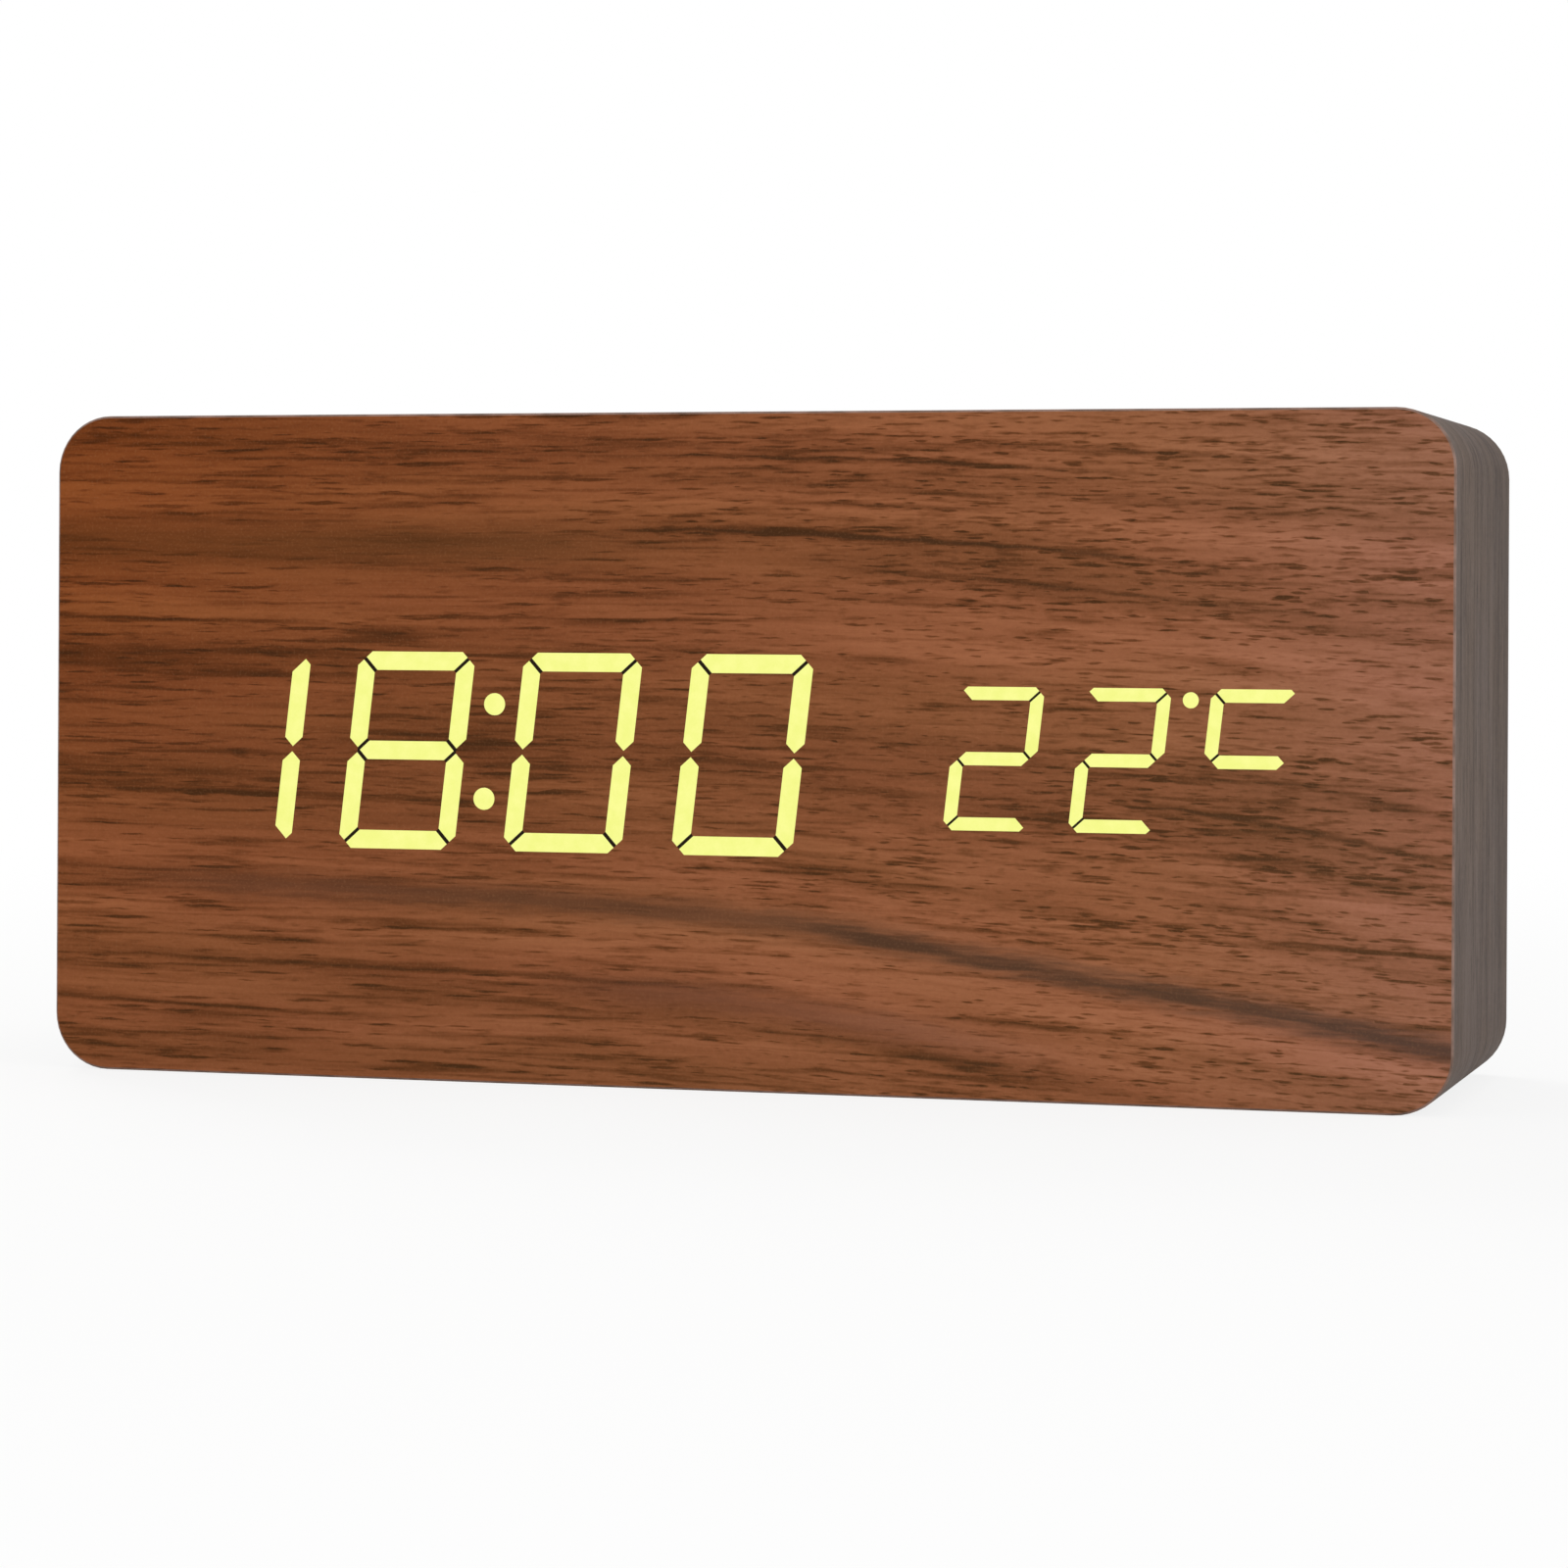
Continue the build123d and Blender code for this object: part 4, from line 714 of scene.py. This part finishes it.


# ribbon cable: ten wires side by side, one marked red, with painted shade in the grooves between the wires
ribbon = {
    "grey": (0.34, 0.34, 0.33), "grooveShade": (0.20, 0.20, 0.20), "red": (0.45, 0.030, 0.028), "wires": 10,
    "grooveShadeGate": (0.6, 1.0), "redSoft": 0.02, "dustScale": 2.0, "rough": 0.42, "dustRough": 0.12,
    "bump": 0.8, "bumpDepth": 0.0003,
}


def ribbonGrey(look):
    low, high = (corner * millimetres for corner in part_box("ribbon_cable"))
    flat = newFinish("ribbonGrey")
    x, y, z = spot = flat.spot()
    pitch = (high.x - low.x) / look["wires"]
    along = x - low.x
    wire = abs(along.remainder(pitch) - pitch / 2) / (pitch / 2)
    dust = flat.even(spot, look["dustScale"])
    # painted shade: darker grey in the grooves between the wires
    colour = flat.blend(flat.ease(wire, *look["grooveShadeGate"]), look["grey"], look["grooveShade"])
    firstWire = flat.ease(along, pitch + look["redSoft"], pitch - look["redSoft"])
    return flat.done({
        "Base Color": flat.blend(firstWire, colour, look["red"]),
        "Roughness": look["rough"] + dust * look["dustRough"],
        "Normal": flat.bump(1.0 - wire * wire, look["bump"], look["bumpDepth"]),
    })


dress(ribbonGrey(ribbon), "ribbon_cable")


# cells: plain two-tone jacket, bare metal at both ends
cells = {
    "dark": (0.020, 0.024, 0.030), "band": (0.30, 0.36, 0.40), "fleck": (0.10, 0.11, 0.12),
    "metal": (0.66, 0.65, 0.62), "bandStart": 0.70, "endBare": 0.8, "soft": 0.1,
    "fleckScale": 3.0, "fleckShare": 0.15, "bandSheen": 0.8, "rough": 0.30, "fleckRough": 0.10,
    "bump": 0.1, "bumpDepth": 0.00003, "count": 4,
}


def cellJacket(name, plusLeft, look):
    low, high = (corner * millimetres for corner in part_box(name))
    cell = newFinish("cellJacket." + name)
    x, y, z = spot = cell.spot()
    soft = look["soft"]
    fromMinus = high.x - x if plusLeft else x - low.x
    start = (high.x - low.x) * look["bandStart"]
    band = cell.ease(fromMinus, start - soft, start + soft)
    across = y - (low.y + high.y) / 2
    up = z - (low.z + high.z) / 2
    away = (across * across + up * up).root()
    bareWithin = (high.z - low.z) / 2 - look["endBare"]
    bare = cell.ease(away, bareWithin, bareWithin - soft)
    fleck = cell.even(spot, look["fleckScale"])
    jacket = cell.blend(band, look["dark"], look["band"])
    jacket = cell.blend(fleck * look["fleckShare"], jacket, look["fleck"])
    return cell.done({
        "Base Color": cell.blend(bare, jacket, look["metal"]),
        "Metallic": bare.least(band * look["bandSheen"]),
        "Roughness": look["rough"] + fleck * look["fleckRough"],
        "Normal": cell.bump(fleck, look["bump"], look["bumpDepth"]),
    })


for number in range(1, cells["count"] + 1):
    dress(cellJacket(f"cell_{number}", number % 2 == 1, cells), f"cell_{number}")


# stage: pale floor, white surroundings, soft lamps
stage = {
    "floor": (0.86, 0.86, 0.85), "size": 8.0, "white": (1, 1, 1), "ambient": 0.50,
    "whiteShare": 0.84, "whiteFrom": 0.12, "whiteTo": 0.45,
    "cloudScale": 0.004, "rough": 0.8, "cloudRough": 0.1,
}
lamps = {
    "frontSoftbox": {"spot": (0.12, -1.20, 0.24), "aim": (0, 0, 0.03), "size": 0.5, "power": 6.0},
    "rightSoftbox": {"spot": (1.15, -0.25, 0.60), "aim": (0, 0, 0.03), "size": 0.8, "power": 2.2},
    "topSoftbox": {"spot": (0.1, 0.15, 1.3), "aim": (0, 0, 0.03), "size": 1.0, "power": 3.2},
    "rearSoftbox": {"spot": (-0.8, 0.9, 0.9), "aim": (0, 0, 0.03), "size": 0.6, "power": 8.0},
}


def seenDirectly(finish):  # 1 for what the camera sees, also in a reflection or through glass
    path = finish.add("ShaderNodeLightPath", {}, {}, "Is Camera Ray")
    return (path + path.sibling("Is Glossy Ray") + path.sibling("Is Transmission Ray")).most(1.0)


def floorPaint(look):
    paint = newFinish("palePaint")
    x, y, z = spot = paint.spot()
    rough = look["rough"] + paint.even(spot, look["cloudScale"]) * look["cloudRough"]
    matt = paint.add(
        "ShaderNodeBsdfPrincipled", {},
        {"Base Color": look["floor"], "Roughness": rough, "Specular IOR Level": 0.0},
    )
    white = paint.add("ShaderNodeEmission", {}, {"Color": look["white"], "Strength": 1.0})
    away = (x * x + y * y).root() / millimetres
    far = paint.ease(away, look["whiteFrom"], look["whiteTo"])  # wholly white there, so no horizon shows
    share = far * (1.0 - look["whiteShare"]) + look["whiteShare"]
    both = paint.add("ShaderNodeMixShader", {}, {0: seenDirectly(paint) * share, 1: matt, 2: white})
    return paint.close(both)


def addStage(look):
    bpy.ops.object.select_all(action="DESELECT")
    bpy.ops.mesh.primitive_plane_add(size=look["size"])
    floor = bpy.context.object
    floor.name = "paleFloor"
    floor.data.materials.append(floorPaint(look))


def addSurroundings(look):
    world = bpy.data.worlds.new("whiteSurroundings")
    bpy.context.scene.world = world
    air = Finish(world)
    level = look["ambient"] + seenDirectly(air) * (1.0 - look["ambient"])
    sky = air.add("ShaderNodeBackground", {}, {"Color": look["white"], "Strength": level})
    air.close(sky, "ShaderNodeOutputWorld")


def addLamp(name, look):
    spot = Vector(look["spot"])
    bpy.ops.object.light_add(type="AREA", location=spot)
    lamp = bpy.context.object
    lamp.name = name
    lamp.rotation_euler = (Vector(look["aim"]) - spot).to_track_quat("-Z", "Y").to_euler()
    lamp.data.shape = "SQUARE"
    lamp.data.size = look["size"]
    lamp.data.energy = look["power"]
    lamp.visible_camera = False


addStage(stage)
addSurroundings(stage)
for name, look in lamps.items():
    addLamp(name, look)
bpy.context.scene.view_settings.view_transform = "Standard"
print("clock: stage and lamps set")
